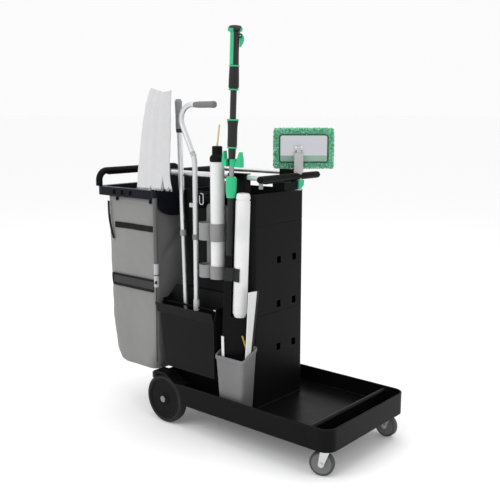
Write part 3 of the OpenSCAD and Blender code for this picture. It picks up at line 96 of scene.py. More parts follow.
class Wire:
    """One output of a shader node. Arithmetic on it adds Math nodes."""

    def __init__(self, tree: "ShaderTree", socket: bpy.types.NodeSocket) -> None:
        """Keep the tree and the socket that this wire starts from."""
        self.tree = tree
        self.socket = socket

    def _math(self, operation: str, *terms: "Wire | float") -> "Wire":
        """Add a Math node.

        Args:
            operation: The node's operation.
            terms: Its inputs in order.

        Returns:
            The node's result.
        """
        return self.tree.add("ShaderNodeMath", {"operation": operation}, dict(enumerate(terms)))

    def __add__(self, other: "Wire | float") -> "Wire":
        """Sum."""
        return self._math("ADD", self, other)

    __radd__ = __add__

    def __sub__(self, other: "Wire | float") -> "Wire":
        """Difference."""
        return self._math("SUBTRACT", self, other)

    def __rsub__(self, other: float) -> "Wire":
        """Reflected difference."""
        return self._math("SUBTRACT", other, self)

    def __mul__(self, other: "Wire | float") -> "Wire":
        """Product."""
        return self._math("MULTIPLY", self, other)

    __rmul__ = __mul__

    def sine(self) -> "Wire":
        """Sine of the value, in radians."""
        return self._math("SINE", self)

    def step(self, low: float, high: float) -> "Wire":
        """Smooth step from 0 at low to 1 at high."""
        sockets = {"Value": self, "From Min": low, "From Max": high}
        return self.tree.add("ShaderNodeMapRange", {"interpolation_type": "SMOOTHSTEP"}, sockets)

    def clamped(self) -> "Wire":
        """The value held between 0 and 1."""
        return self.tree.add("ShaderNodeClamp", {}, {"Value": self})


class ShaderTree:
    """Node tree of one material or world."""

    def __init__(self, owner: bpy.types.Material | bpy.types.World) -> None:
        """Empty the owner's node tree and keep it.

        Args:
            owner: The material or world.
        """
        owner.use_nodes = True
        self.owner = owner
        self.nodes = owner.node_tree.nodes
        self.links = owner.node_tree.links
        self.nodes.clear()

    def add(
        self, kind: str, settings: dict[str, Any], sockets: dict[Any, Any], output: int | str = 0,
    ) -> Wire:
        """Add a node.

        Args:
            kind: The node's type.
            settings: Its own settings.
            sockets: Values or wires for its inputs.
            output: Which output to return.

        Returns:
            The chosen output.
        """
        node = self.nodes.new(kind)
        for name, value in settings.items():
            setattr(node, name, value)
        for key, value in sockets.items():
            target = node.inputs[key]
            if isinstance(value, Wire):
                self.links.new(value.socket, target)
            elif target.type == "RGBA" and len(value) == 3:
                target.default_value = (*value, 1.0)
            else:
                target.default_value = value
        return Wire(self, node.outputs[output])

    def place(self) -> Wire:
        """Position on the piece, in metres of the cart's frame."""
        return self.add("ShaderNodeTexCoord", {}, {}, "Object")

    def stretched(self, place: Wire, scale: Sequence[float]) -> Wire:
        """A position scaled along the three axes."""
        return self.add("ShaderNodeVectorMath", {"operation": "MULTIPLY"}, {0: place, 1: tuple(scale)})

    def along(self, place: Wire, axis: str) -> Wire:
        """One coordinate of a position."""
        return self.add("ShaderNodeSeparateXYZ", {}, {0: place}, axis)

    def noise(self, place: Wire, scale: float, detail: float = 2.0) -> Wire:
        """Noise from 0 to 1.

        Args:
            place: Where it is read.
            scale: Lumps per metre.
            detail: Octaves.

        Returns:
            The noise value.
        """
        return self.add("ShaderNodeTexNoise", {}, {"Vector": place, "Scale": scale, "Detail": detail})

    def mix(self, factor: Wire | float, first: Wire | Colour, second: Wire | Colour) -> Wire:
        """Blend two colours.

        Args:
            factor: Share of the second colour.
            first: Colour at 0.
            second: Colour at 1.

        Returns:
            The blended colour.
        """
        sockets = {MIX_FACTOR: factor, MIX_FIRST: first, MIX_SECOND: second}
        return self.add("ShaderNodeMix", {"data_type": "RGBA"}, sockets, MIX_RESULT)

    def toned(self, factor: Wire, colour: Colour, spread: float) -> Wire:
        """A colour that goes from darker to lighter by a share of itself."""
        return self.mix(factor, scaled(colour, 1.0 - spread), scaled(colour, 1.0 + spread))

    def varied(self, base: Wire | float, swings: Iterable[tuple[float, Wire]]) -> Wire:
        """A value that swings about its base.

        Args:
            base: The value in the middle.
            swings: How far it swings with each noise.

        Returns:
            The value, held between 0 and 1.
        """
        for swing, wave in swings:
            base = base + swing * (wave - 0.5)
        return base.clamped()

    def rounded(self, radius: float) -> Wire:
        """Normal of the surface with its edges rounded."""
        return self.add("ShaderNodeBevel", {"samples": EDGE_SAMPLES}, {"Radius": radius})

    def edges(self, rounded: Wire) -> Wire:
        """How much a rounded normal turns away from the surface.

        Args:
            rounded: The rounded normal.

        Returns:
            0 on a face, up to 1 near an edge.
        """
        flat = self.add("ShaderNodeNewGeometry", {}, {}, "Normal")
        dot = self.add("ShaderNodeVectorMath", {"operation": "DOT_PRODUCT"}, {0: rounded, 1: flat}, "Value")
        return (EDGE_GAIN * (1.0 - dot)).clamped()

    def bump(self, height: Wire, depth: float, normal: Wire | None = None) -> Wire:
        """Bumped normal.

        Args:
            height: Height from 0 to 1.
            depth: Depth in metres.
            normal: Normal to start from.

        Returns:
            The normal.
        """
        sockets = {"Height": height, "Distance": depth, "Strength": 1.0}
        if normal is not None:
            sockets["Normal"] = normal
        return self.add("ShaderNodeBump", {}, sockets)

    def surface(self, sockets: dict[str, Any]) -> None:
        """Close the tree with a Principled surface that has these sockets."""
        self.close("ShaderNodeOutputMaterial", self.add("ShaderNodeBsdfPrincipled", {}, sockets))

    def close(self, kind: str, shader: Wire) -> None:
        """Link a shader to an output node of that type."""
        self.links.new(shader.socket, self.nodes.new(kind).inputs["Surface"])


def scaled(colour: Colour, by: float) -> Colour:
    """A colour made lighter or darker."""
    return tuple(min(1.0, c * by) for c in colour)


@dataclass(frozen=True)
class Finish:
    """A finish of the cart and the record's slot that it belongs to."""

    name: str
    slot: str
    colour: Colour

    def paint(self, tree: ShaderTree) -> None:
        """Fill the tree of this finish's material. Each kind of finish does this in its own way."""
        raise NotImplementedError


@dataclass(frozen=True)
class Moulded(Finish):
    """Moulded plastic: satin grain, slow drift of colour, faint scuffs and worn edges."""

    roughness: float = 0.4
    gloss: float = 0.07
    grain: float = 700.0
    grain_depth: float = 0.00004
    edge_r: float = 0.0014
    edge: float = 0.12
    drift: float = 7.0
    scuff: Triple = (25.0, 25.0, 110.0)
    tone: float = 0.22
    worn_lift: float = 0.25
    swings: Pair = (0.16, 0.18)

    def paint(self, tree: ShaderTree) -> None:
        """Fill the tree of this finish's material.

        Args:
            tree: The empty tree.
        """
        place = tree.place()
        drift = tree.noise(place, self.drift, detail=3.0)
        scuff = tree.noise(tree.stretched(place, self.scuff), 1.0, detail=5.0)
        rounded = tree.rounded(self.edge_r)
        worn = (tree.edges(rounded) * scuff * (2.0 * self.edge)).clamped()
        pale = tuple(c + self.worn_lift * (1.0 - c) for c in self.colour)
        tree.surface({
            "Base Color": tree.mix(worn, tree.toned(drift, self.colour, self.tone), pale),
            "Roughness": tree.varied(self.roughness, zip(self.swings, (drift, scuff))),
            "Specular IOR Level": self.gloss,
            "Normal": tree.bump(tree.noise(place, self.grain, detail=3.0), self.grain_depth, rounded),
        })


@dataclass(frozen=True)
class Metal(Finish):
    """Drawn or plated metal with fine streaks along its axis."""

    roughness: float = 0.28
    axis: Axis = Axis.Z
    smudge: float = 16.0
    streak_depth: float = 0.00003
    dull: float = 0.86
    edge_r: float = 0.0008
    swings: Pair = (0.14, 0.16)

    def paint(self, tree: ShaderTree) -> None:
        """Fill the tree of this finish's material.

        Args:
            tree: The empty tree.
        """
        place = tree.place()
        streak = tree.noise(tree.stretched(place, self.axis.value), 1.0, detail=3.0)
        smudge = tree.noise(place, self.smudge, detail=4.0)
        tree.surface({
            "Base Color": tree.mix(streak, scaled(self.colour, self.dull), self.colour),
            "Metallic": 1.0,
            "Roughness": tree.varied(self.roughness, zip(self.swings, (streak, smudge))),
            "Normal": tree.bump(streak, self.streak_depth, tree.rounded(self.edge_r)),
        })


@dataclass(frozen=True)
class Zone:
    """A stretch of height with its own colour, roughness and metal share."""

    low: float
    high: float
    colour: Colour
    roughness: float
    metal: float


@dataclass(frozen=True)
class Banded(Finish):
    """A pole whose grip, collar and tube are one solid, finished by height."""

    zones: tuple[Zone, ...] = ()
    roughness: float = 0.42
    gloss: float = 0.4
    grain: float = 800.0
    grain_depth: float = 0.00004
    edge_r: float = 0.001
    soft: float = 0.0006
    shade: Pair = (0.8, 0.3)
    swing: float = 0.14

    def paint(self, tree: ShaderTree) -> None:
        """Fill the tree of this finish's material.

        Args:
            tree: The empty tree.
        """
        place = tree.place()
        height = tree.along(place, "Z")
        streak = tree.noise(tree.stretched(place, Axis.Z.value), 1.0, detail=3.0)
        grain = tree.noise(place, self.grain, detail=3.0)
        colour: Wire | Colour = self.colour
        rough: Wire | float = self.roughness
        metal: Wire | float = 0.0
        for zone in self.zones:
            past = height.step(zone.high - self.soft, zone.high + self.soft)
            inside = height.step(zone.low - self.soft, zone.low + self.soft) * (1.0 - past)
            colour = tree.mix(inside, colour, zone.colour)
            rough = inside * zone.roughness + (1.0 - inside) * rough
            metal = inside * zone.metal + (1.0 - inside) * metal
        shade = self.shade[0] + self.shade[1] * streak
        grey = tree.add("ShaderNodeCombineXYZ", {}, {0: shade, 1: shade, 2: shade})
        tree.surface({
            "Base Color": tree.add("ShaderNodeVectorMath", {"operation": "MULTIPLY"}, {0: colour, 1: grey}),
            "Roughness": tree.varied(rough, [(self.swing, streak)]),
            "Metallic": metal,
            "Specular IOR Level": self.gloss,
            "Normal": tree.bump(grain, self.grain_depth, tree.rounded(self.edge_r)),
        })


@dataclass(frozen=True)
class Rubber(Finish):
    """Dull rubber with a dusty bloom."""

    roughness: float = 0.62
    gloss: float = 0.3
    grain: float = 1100.0
    grain_depth: float = 0.00006
    edge_r: float = 0.0016
    dust: float = 22.0
    dust_range: Pair = (0.45, 0.8)
    dust_share: float = 0.35
    bloom: Pair = (0.05, 0.9)
    swing: float = 0.2

    def paint(self, tree: ShaderTree) -> None:
        """Fill the tree of this finish's material.

        Args:
            tree: The empty tree.
        """
        place = tree.place()
        dust = tree.noise(place, self.dust, detail=5.0)
        grain = tree.noise(place, self.grain, detail=2.0)
        lift, keep = self.bloom
        bloom = tuple(lift + keep * c for c in self.colour)
        tree.surface({
            "Base Color": tree.mix(dust.step(*self.dust_range) * self.dust_share, self.colour, bloom),
            "Roughness": tree.varied(self.roughness, [(self.swing, dust)]),
            "Specular IOR Level": self.gloss,
            "Normal": tree.bump(grain, self.grain_depth, tree.rounded(self.edge_r)),
        })


@dataclass(frozen=True)
class Woven(Finish):
    """Woven cloth: crossing threads, slubs and a slow drift of tone. Painted shade may darken it where it
    faces +X.
    """

    pitch: float = 0.0022
    depth: float = 0.00025
    slub: float = 0.16
    sheen: float = 0.0
    painted_side_shade: float = 0.0
    side_range: Pair = (0.4, 0.8)
    side_dark: float = 0.1
    thread_height: float = 0.25
    slub_height: float = 0.5
    slub_share: float = 0.4
    slub_scale: Triple = (220.0, 220.0, 40.0)
    drift: float = 6.0
    roughness: float = 0.82
    gloss: float = 0.2
    sheen_roughness: float = 0.5
    swing: float = 0.1

    def paint(self, tree: ShaderTree) -> None:
        """Fill the tree of this finish's material.

        Args:
            tree: The empty tree.
        """
        place = tree.place()
        turn = FULL_TURN / self.pitch
        across = ((tree.along(place, "X") + tree.along(place, "Y")) * turn).sine()
        down = (tree.along(place, "Z") * turn).sine()
        weave = 0.5 + self.thread_height * (across + down)
        slubs = tree.noise(tree.stretched(place, self.slub_scale), 1.0, detail=3.0)
        drift = tree.noise(place, self.drift, detail=4.0)
        blend = drift * (1.0 - self.slub_share) + slubs * self.slub_share
        thread = tree.toned(blend.clamped(), self.colour, self.slub)
        # Painted shade: faces that turn towards +X, as the bag's side next to the tower, are darkened
        if self.painted_side_shade:
            facing = tree.along(tree.add("ShaderNodeNewGeometry", {}, {}, "Normal"), "X")
            shaded = facing.step(*self.side_range) * self.painted_side_shade
            thread = tree.mix(shaded, thread, scaled(self.colour, self.side_dark))
        tree.surface({
            "Base Color": thread,
            "Roughness": tree.varied(self.roughness, [(self.swing, slubs)]),
            "Specular IOR Level": self.gloss,
            "Sheen Weight": self.sheen,
            "Sheen Roughness": self.sheen_roughness,
            "Normal": tree.bump(weave + self.slub_height * slubs, self.depth),
        })


@dataclass(frozen=True)
class Pile(Finish):
    """Fleece or microfibre pile: clumped fibres over a soft drift of tone."""

    clump: float = 260.0
    depth: float = 0.0012
    spread: float = 0.25
    drift: float = 24.0
    drift_share: float = 0.3
    roughness: float = 0.9
    gloss: float = 0.15
    sheen: float = 0.3
    sheen_roughness: float = 0.6
    swing: float = 0.1

    def paint(self, tree: ShaderTree) -> None:
        """Fill the tree of this finish's material.

        Args:
            tree: The empty tree.
        """
        place = tree.place()
        fibre = tree.noise(place, self.clump, detail=5.0)
        drift = tree.noise(place, self.drift, detail=3.0)
        blend = fibre * (1.0 - self.drift_share) + drift * self.drift_share
        tree.surface({
            "Base Color": tree.toned(blend.clamped(), self.colour, self.spread),
            "Roughness": tree.varied(self.roughness, [(self.swing, fibre)]),
            "Specular IOR Level": self.gloss,
            "Sheen Weight": self.sheen,
            "Sheen Roughness": self.sheen_roughness,
            "Normal": tree.bump(fibre, self.depth),
        })


@dataclass(frozen=True)
class Paint(Finish):
    """Plain matt floor paint with a faint mottle and a faint glow."""

    mottle: float = 2.0
    dull: float = 0.99
    roughness: float = 0.9
    gloss: float = 0.1
    glow: float = 0.07

    def paint(self, tree: ShaderTree) -> None:
        """Fill the tree of this finish's material.

        Args:
            tree: The empty tree.
        """
        mottle = tree.noise(tree.place(), self.mottle, detail=3.0)
        tree.surface({
            "Base Color": tree.mix(mottle, scaled(self.colour, self.dull), self.colour),
            "Roughness": self.roughness,
            "Specular IOR Level": self.gloss,
            "Emission Color": PURE_WHITE,
            "Emission Strength": self.glow,
        })


@lru_cache(maxsize=None)
def material_of(finish: Finish) -> bpy.types.Material:
    """The material of a finish, made once.

    Args:
        finish: The finish.

    Returns:
        Its material.
    """
    tree = ShaderTree(bpy.data.materials.new(finish.name))
    finish.paint(tree)
    return tree.owner


BLACK = Moulded("black_moulding", "black_plastic", (0.0045, 0.0045, 0.0048), 0.44)
GLOSSY_BLACK = Moulded("tray_moulding", "black_plastic", (0.0040, 0.0040, 0.0043), 0.32, edge_r=0.003)
PAN_BLACK = Moulded("dustpan_moulding", "black_plastic", (0.0075, 0.0075, 0.0078), 0.5, edge=0.2)
NAVY = Moulded("blue_black_moulding", "navy_plastic", (0.0075, 0.0092, 0.0135), 0.36)
WHEEL_BLACK = Moulded("wheel_moulding", "black_plastic", (0.0060, 0.0060, 0.0062), 0.5)
GREY = Moulded("grey_moulding", "grey_plastic", (0.23, 0.23, 0.232), 0.5, 0.35, edge=0.08)
BUCKET_GREY = Moulded("bucket_moulding", "grey_plastic", (0.16, 0.16, 0.164), 0.45, 0.35, edge_r=0.002)
LIGHT_GREY = Moulded("light_grey_moulding", "grey_plastic", (0.44, 0.44, 0.445), 0.45, 0.35, edge=0.05)
CASTER_GREY = Moulded("caster_moulding", "grey_plastic", (0.15, 0.15, 0.152), 0.5, 0.3, edge=0.06)
DARK = Moulded("dark_grip", "dark_plastic", (0.013, 0.0133, 0.014), 0.45, 0.25)
WHITE = Moulded("white_moulding", "white_plastic", (0.70, 0.70, 0.705), 0.38, 0.4, edge=0.0)
GREEN = Moulded("green_moulding", "green_plastic", (0.016, 0.44, 0.195), 0.36, 0.4, edge=0.05)
PALE_GREEN = Moulded("pale_green_strip", "green_plastic", (0.25, 0.38, 0.31), 0.45, 0.3, edge=0.0)
YELLOW = Moulded("yellow_moulding", "yellow_plastic", (0.34, 0.25, 0.03), 0.4, 0.3, edge=0.0)
CREAM = Moulded("cream_moulding", "yellow_plastic", (0.66, 0.54, 0.26), 0.4, 0.3, edge=0.0)
TYRE = Rubber("black_tyre", "black_tyre", (0.0060, 0.0060, 0.0060))
TREAD = Rubber("grey_tread", "grey_tread", (0.055, 0.055, 0.057))
DULL_STEEL = Metal("dull_steel", "steel", (0.27, 0.27, 0.275), 0.4, Axis.Y)
STEEL = Metal("plated_steel", "steel", (0.62, 0.63, 0.64), axis=Axis.Y)
RAIL_METAL = Metal("rail_aluminium", "aluminium", (0.90, 0.91, 0.92), 0.45, Axis.X)
POLE_METAL = Metal("pole_aluminium", "aluminium", (0.70, 0.71, 0.72), 0.5)
PLATE_METAL = Metal("plate_aluminium", "aluminium", (0.66, 0.67, 0.71), 0.36, Axis.X)
# The bag cloth has painted shade on its side that faces the tower, towards +X
BAG_CLOTH = Woven("bag_cloth", "grey_fabric", (0.228, 0.226, 0.224), sheen=0.15, painted_side_shade=0.22)
WEBBING = Woven("black_webbing", "black_plastic", (0.0065, 0.0065, 0.0068), pitch=0.003)
NETTING = Woven("pocket_netting", "grey_fabric", (0.045, 0.045, 0.047), pitch=0.004, depth=0.0006, slub=0.3)
FLEECE = Pile("white_fleece", "white_fabric", (0.54, 0.54, 0.55), 190.0, depth=0.0008, spread=0.12)
MICROFIBRE = Pile("green_microfibre", "green_fabric", (0.080, 0.37, 0.195), 330.0, spread=0.4)
# Dark green for the painted shade in the gap between the pad's plate and its pile
GAP_SHADE = Pile("pad_gap_shade", "green_fabric", (0.012, 0.085, 0.045), 330.0, spread=0.3)
PALE_CURLS = Pile("pale_microfibre", "green_fabric", (0.23, 0.64, 0.42), 330.0, spread=0.3)
FLOOR = Paint("pale_floor", "white_plastic", (0.95, 0.95, 0.95))
MOP_HANDLE = Banded("mop_handle", "dark_plastic", (0.011, 0.0113, 0.012), (
    Zone(0.5, 1.0775, (0.34, 0.34, 0.37), 0.32, 1.0), Zone(1.236, 1.325, (0.012, 0.0125, 0.0135), 0.4, 0.0)))
POLE_TUBE = Banded("pole_tube", "aluminium", (0.24, 0.24, 0.242), (
    Zone(0.797, 1.175, (0.80, 0.81, 0.82), 0.3, 1.0), Zone(1.176, 1.19, (0.02, 0.02, 0.021), 0.5, 0.0)))
DUSTER_ROD = Banded("duster_rod", "grey_plastic", (0.1, 0.1, 0.102), (
    Zone(0.5, 0.655, (0.45, 0.45, 0.46), 0.4, 0.0), Zone(0.9535, 1.1, (0.52, 0.52, 0.53), 0.35, 0.0)))
CANE_FITTINGS = Banded("cane_fittings", "grey_plastic", (0.16, 0.16, 0.162), (
    Zone(0.49, 0.565, (0.58, 0.58, 0.59), 0.4, 0.0),))

WHEEL_SOLIDS = {
    "wheel_hub": WHEEL_BLACK, "wheel_tyre": TYRE, "caster_fork": STEEL, "caster_bolt": STEEL,
    "caster_wheel": CASTER_GREY, "caster_tread": TREAD,
}


def clamp(value: float, low: float = 0.0, high: float = 1.0) -> float:
    """A number held between two ends."""
    return min(max(value, low), high)


def around(count: int, start: float = 0.0) -> list[float]:
    """Angles of even steps round a circle, the first a share of a step along."""
    return [FULL_TURN * (k + start) / count for k in range(count)]


def on_circle(radius: float, angle: float, z: float) -> Vector:
    """A point at an angle round the Z axis."""
    return Vector((radius * math.cos(angle), radius * math.sin(angle), z))


def stretched(place: Sequence[float], scale: Sequence[float]) -> Vector:
    """A place scaled along its three axes."""
    return Vector([p * s for p, s in zip(place, scale)])


def standing(place: Sequence[float], heading: Vector) -> Matrix:
    """From a frame at a place whose Z runs along a heading to the cart's frame."""
    return Matrix.Translation(Vector(place)) @ heading.to_track_quat("Z", "Y").to_matrix().to_4x4()


def linked(name: str, data: bpy.types.ID) -> bpy.types.Object:
    """Add an object to the scene.

    Args:
        name: Its name.
        data: Its mesh, light or camera.

    Returns:
        The new object.
    """
    obj = bpy.data.objects.new(name, data)
    bpy.context.scene.collection.objects.link(obj)
    return obj


@dataclass
class Shape:
    """Points and faces of a piece while it is made."""

    points: list[Vector] = field(default_factory=list)
    faces: list[tuple[int, ...]] = field(default_factory=list)

    def join(self, *others: "Shape") -> "Shape":
        """Take in other shapes.

        Args:
            others: The shapes.

        Returns:
            This shape.
        """
        for other in others:
            start = len(self.points)
            self.points += other.points
            self.faces += [tuple(i + start for i in f) for f in other.faces]
        return self

    def moved(self, matrix: Matrix) -> "Shape":
        """A copy moved by a matrix."""
        return Shape([matrix @ p for p in self.points], list(self.faces))

    def piece(self, name: str, finish: Finish, body: str, angle: float = 35.0) -> bpy.types.Object:
        """Make the piece.

        Args:
            name: Its name.
            finish: Its finish.
            body: The body it rides on.
            angle: Edges sharper than this stay sharp, in degrees.

        Returns:
            The new object.
        """
        mesh = bpy.data.meshes.new(name)
        mesh.from_pydata([tuple(p) for p in self.points], [], self.faces)
        work = bmesh.new()
        work.from_mesh(mesh)
        bmesh.ops.recalc_face_normals(work, faces=work.faces)
        work.to_mesh(mesh)
        work.free()
        mesh.shade_smooth()
        mesh.set_sharp_from_angle(angle=math.radians(angle))
        mesh.materials.append(material_of(finish))
        obj = linked(name, mesh)
        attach(obj, body)
        LOG.info("%s rides on %s: %d faces", name, body, len(mesh.polygons))
        return obj


def skin(rings: Sequence[Ring], loop: bool = False, caps: bool = True) -> Shape:
    """Faces through closed rings of equal count.

    Args:
        rings: The rings in order.
        loop: Whether the last ring joins the first.
        caps: Whether the two ends are closed.

    Returns:
        The shape.
    """
    count = len(rings[0])
    total = len(rings)
    shape = Shape([Vector(p) for ring in rings for p in ring])
    for j in range(total if loop else total - 1):
        a = j * count
        b = (j + 1) % total * count
        for i in range(count):
            k = (i + 1) % count
            shape.faces.append((a + i, a + k, b + k, b + i))
    if caps and not loop:
        shape.faces.append(tuple(reversed(range(count))))
        shape.faces.append(tuple(range((total - 1) * count, total * count)))
    return shape


def tube(path: Sequence[Vector], radius: float, sides: int = 12, loop: bool = False) -> Shape:
    """Round tube along a path, with rounded ends.

    Args:
        path: Points of its centreline.
        radius: Its radius.
        sides: Points round it.
        loop: Whether the path is closed.

    Returns:
        The shape.
    """
    points = [Vector(p) for p in path]
    stops = [(p, radius) for p in points]
    if not loop:
        first = (points[0] - points[1]).normalized()
        last = (points[-1] - points[-2]).normalized()
        ends = [(radius * math.sin(a), radius * math.cos(a)) for a in ROUND_END]
        stops = [(points[0] + first * d, r) for d, r in reversed(ends)] + stops
        stops += [(points[-1] + last * d, r) for d, r in ends]
    count = len(stops)
    angles = around(sides)
    side = None
    rings = []
    for i, (place, r) in enumerate(stops):
        before = stops[(i - 1) % count if loop else max(i - 1, 0)][0]
        after = stops[(i + 1) % count if loop else min(i + 1, count - 1)][0]
        heading = (after - before).normalized()
        if side is None:
            side = heading.orthogonal().normalized()
        side = (side - heading * side.dot(heading)).normalized()
        up = heading.cross(side)
        rings.append([place + (side * math.cos(a) + up * math.sin(a)) * r for a in angles])
    return skin(rings, loop)


def tuft(path: Sequence[Vector], radius: float) -> Shape:
    """A curl of pile, drawn in at its tip.

    Args:
        path: Its root, its bend and its tip.
        radius: Its radius at the bend.

    Returns:
        The shape.
    """
    heading = path[2] - path[0]
    side = heading.orthogonal().normalized() * radius
    up = heading.normalized().cross(side)
    turns = [(math.cos(a), math.sin(a)) for a in around(TUFT_SIDES)]
    return skin([[p + (side * c + up * s) * size for c, s in turns] for p, size in zip(path, TUFT_SIZES)])


def lathe(profile: Sequence[Pair], steps: int = 40, loop: bool = False) -> Shape:
    """Solid turned about Z.

    Args:
        profile: Radius and height of each stop.
        steps: Points round it.
        loop: Whether the profile is a closed loop, as of a ring.

    Returns:
        The shape.
    """
    return skin([[on_circle(r, a, z) for a in around(steps)] for r, z in profile], loop)


def plan(
    length: float, width: float, corner: float, middle: Pair, z: float, steps: int = 8,
    last: float = 1.0,
) -> Ring:
    """Rounded rectangle at a height.

    Args:
        length: Its size along X.
        width: Its size along Y.
        corner: Radius of its corners.
        middle: Its middle.
        z: Its height.
        steps: Points in each corner.
        last: Share of the radius that the corner at +X and -Y has.

    Returns:
        Its points, counter-clockwise from the +X side.
    """
    ring = []
    for quarter in range(4):
        sx = 1.0 if quarter in (0, 3) else -1.0
        sy = 1.0 if quarter < 2 else -1.0
        r = corner * (last if quarter == 3 else 1.0)
        for i in range(steps + 1):
            a = QUARTER_TURN * (quarter + i / steps)
            x = middle[0] + sx * (length / 2.0 - r) + r * math.cos(a)
            y = middle[1] + sy * (width / 2.0 - r) + r * math.sin(a)
            ring.append(Vector((x, y, z)))
    return ring


def slab(outline: Sequence[Pair], thickness: float) -> Shape:
    """Flat plate from an outline in XY, from z = 0 to its thickness."""
    return skin([[Vector((x, y, z)) for x, y in outline] for z in (0.0, thickness)])


def strip(rows: Sequence[Ring], thickness: float) -> Shape:
    """A thin closed strip on a grid of points.

    Args:
        rows: Rows of points of equal count.
        thickness: How far its back lies behind the points, against their normals.

    Returns:
        The shape.
    """
    tall = len(rows)
    wide = len(rows[0])
    front = [Vector(p) for row in rows for p in row]
    back = []
    for j in range(tall):
        for i in range(wide):
            across = rows[j][min(i + 1, wide - 1)] - rows[j][max(i - 1, 0)]
            down = rows[min(j + 1, tall - 1)][i] - rows[max(j - 1, 0)][i]
            back.append(rows[j][i] + across.cross(down).normalized() * thickness)
    shape = Shape(front + back)
    half = len(front)
    for j in range(tall - 1):
        for i in range(wide - 1):
            a = j * wide + i
            quad = (a, a + 1, a + wide + 1, a + wide)
            shape.faces.append(quad)
            shape.faces.append(tuple(half + k for k in reversed(quad)))
    rim = list(range(wide)) + [wide * (j + 1) - 1 for j in range(1, tall)]
    rim += [wide * (tall - 1) + i for i in range(wide - 2, -1, -1)]
    rim += [wide * j for j in range(tall - 2, 0, -1)]
    for a, b in zip(rim, rim[1:] + rim[:1]):
        shape.faces.append((b, a, half + a, half + b))
    return shape


def screw_head(place: Sequence[float], facing: Sequence[float], radius: float) -> Shape:
    """A domed screw head with a socket, at the middle of its seat."""
    profile = [(r * radius, z * radius) for r, z in SCREW_PROFILE]
    return lathe(profile, steps=20).moved(standing(place, Vector(facing)))


@dataclass(frozen=True)
class Ribs:
    """Upright ribs round a cylinder."""

    middle: Pair
    radius: float
    foot: float
    height: float
    rib_r: float
    sides: int

    def shape(self, angles: Sequence[float]) -> Shape:
        """Make the ribs.

        Args:
            angles: Where they stand round the cylinder, in radians.

        Returns:
            The shape.
        """
        row = Shape()
        for angle in angles:
            low = Vector((*self.middle, 0.0)) + on_circle(self.radius, angle, self.foot)
            row.join(tube([low, low + Vector((0.0, 0.0, self.height))], self.rib_r, self.sides))
        return row


class Assembly:
    """A sub-assembly of the cart: the finishes of its solids and the pieces added to them."""

    solids: ClassVar[dict[str, Finish]] = {}

    def dress(self) -> None:
        """Give each solid of the sub-assembly its finish."""
        for node, finish in self.solids.items():
            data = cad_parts[node].data
            data.materials.clear()
            data.materials.append(material_of(finish))

    def build(self) -> None:
        """Make the pieces that the sub-assembly adds."""


@dataclass
class Chassis(Assembly):
    """Base tray with its wheels and casters."""

    front: float = 0.613
    half_width: float = 0.261
    corner: float = 0.045
    corner_steps: int = 10
    wall: float = 0.005
    rim_top: float = 0.183
    rim_start: float = -0.094
    bead: float = 0.0034

    solids: ClassVar[dict[str, Finish]] = {
        "base_tray": GLOSSY_BLACK, "rear_axle": STEEL, "axle_caps": DULL_STEEL, "caster_plates": STEEL,
        "caster_screws": STEEL,
        **{f"{side}_{node}": finish for side in ("near", "far") for node, finish in WHEEL_SOLIDS.items()},
    }

    def build(self) -> None:
        """Make the rolled rim of the tray."""
        inset = self.wall / 2.0
        radius = self.corner - inset
        half = self.half_width - inset
        end = self.front - inset
        path = [Vector((self.rim_start, -half, self.rim_top))]
        for quarter, side in ((-1, -1.0), (0, 1.0)):
            for i in range(self.corner_steps + 1):
                a = QUARTER_TURN * (quarter + i / self.corner_steps)
                x = end - radius + radius * math.cos(a)
                path.append(Vector((x, side * (half - radius) + radius * math.sin(a), self.rim_top)))
        path.append(Vector((self.rim_start, half, self.rim_top)))
        tube(path, self.bead).piece("tray_rim", GLOSSY_BLACK, "cart")


@dataclass
class Tower(Assembly):
    """Stacked storage modules on the tray, and the hook on their near side."""

    length: float = 0.377
    width: float = 0.320
    corner: float = 0.022
    middle: Pair = (-0.0015, 0.0)
    foot: float = 0.121
    foot_out: float = 0.001
    foot_bead: float = 0.0024
    top: float = 0.950
    rim_inset: float = 0.002
    rim_bead: float = 0.003
    near: float = -0.1590
    hook_place: Triple = (-0.030, -0.205, 0.928)
    hook_bend: float = 0.0095
    hook_straight: float = 0.0115
    hook_wire: float = 0.0022
    hook_steps: int = 36
    peg_r: float = 0.0034
    peg_tip: Profile = ((0.005, 0.0), (0.008, 0.0012), (0.0092, 0.0035))

    solids: ClassVar[dict[str, Finish]] = {"tower_lower": BLACK, "tower_middle": BLACK, "tower_top": BLACK}

    def build(self) -> None:
        """Make the beads at the tower's foot and top, and the hook on its side."""
        length = self.length - 2.0 * self.rim_inset
        width = self.width - 2.0 * self.rim_inset
        rim = plan(length, width, self.corner - self.rim_inset, self.middle, self.top)
        tube(rim, self.rim_bead, loop=True).piece("tower_rim", BLACK, "cart")
        out = self.foot_out
        foot = plan(self.length + out, self.width + out, self.corner, self.middle, self.foot + out)
        tube(foot, self.foot_bead, loop=True).piece("tower_foot", GLOSSY_BLACK, "cart")
        self.snap_hook()

    def snap_hook(self) -> None:
        """Make the long ring and the peg on the tower's wall that it hangs from."""
        x, y, z = self.hook_place
        loop = []
        for a in around(self.hook_steps, 0.5):
            rise = self.hook_bend * math.cos(a) + math.copysign(self.hook_straight, math.cos(a))
            loop.append(Vector((x + self.hook_bend * math.sin(a), y, z + rise)))
        tube(loop, self.hook_wire, sides=10, loop=True).piece("snap_hook", STEEL, "cart")
        peg_z = z + self.hook_straight + self.hook_bend - self.hook_wire - self.peg_r
        stops = [(self.near, 0.0)] + [(y - reach, lift) for reach, lift in self.peg_tip]
        peg = [Vector((x, stop, peg_z + lift)) for stop, lift in stops]
        tube(peg, self.peg_r, sides=14).piece("hook_peg", BLACK, "cart")


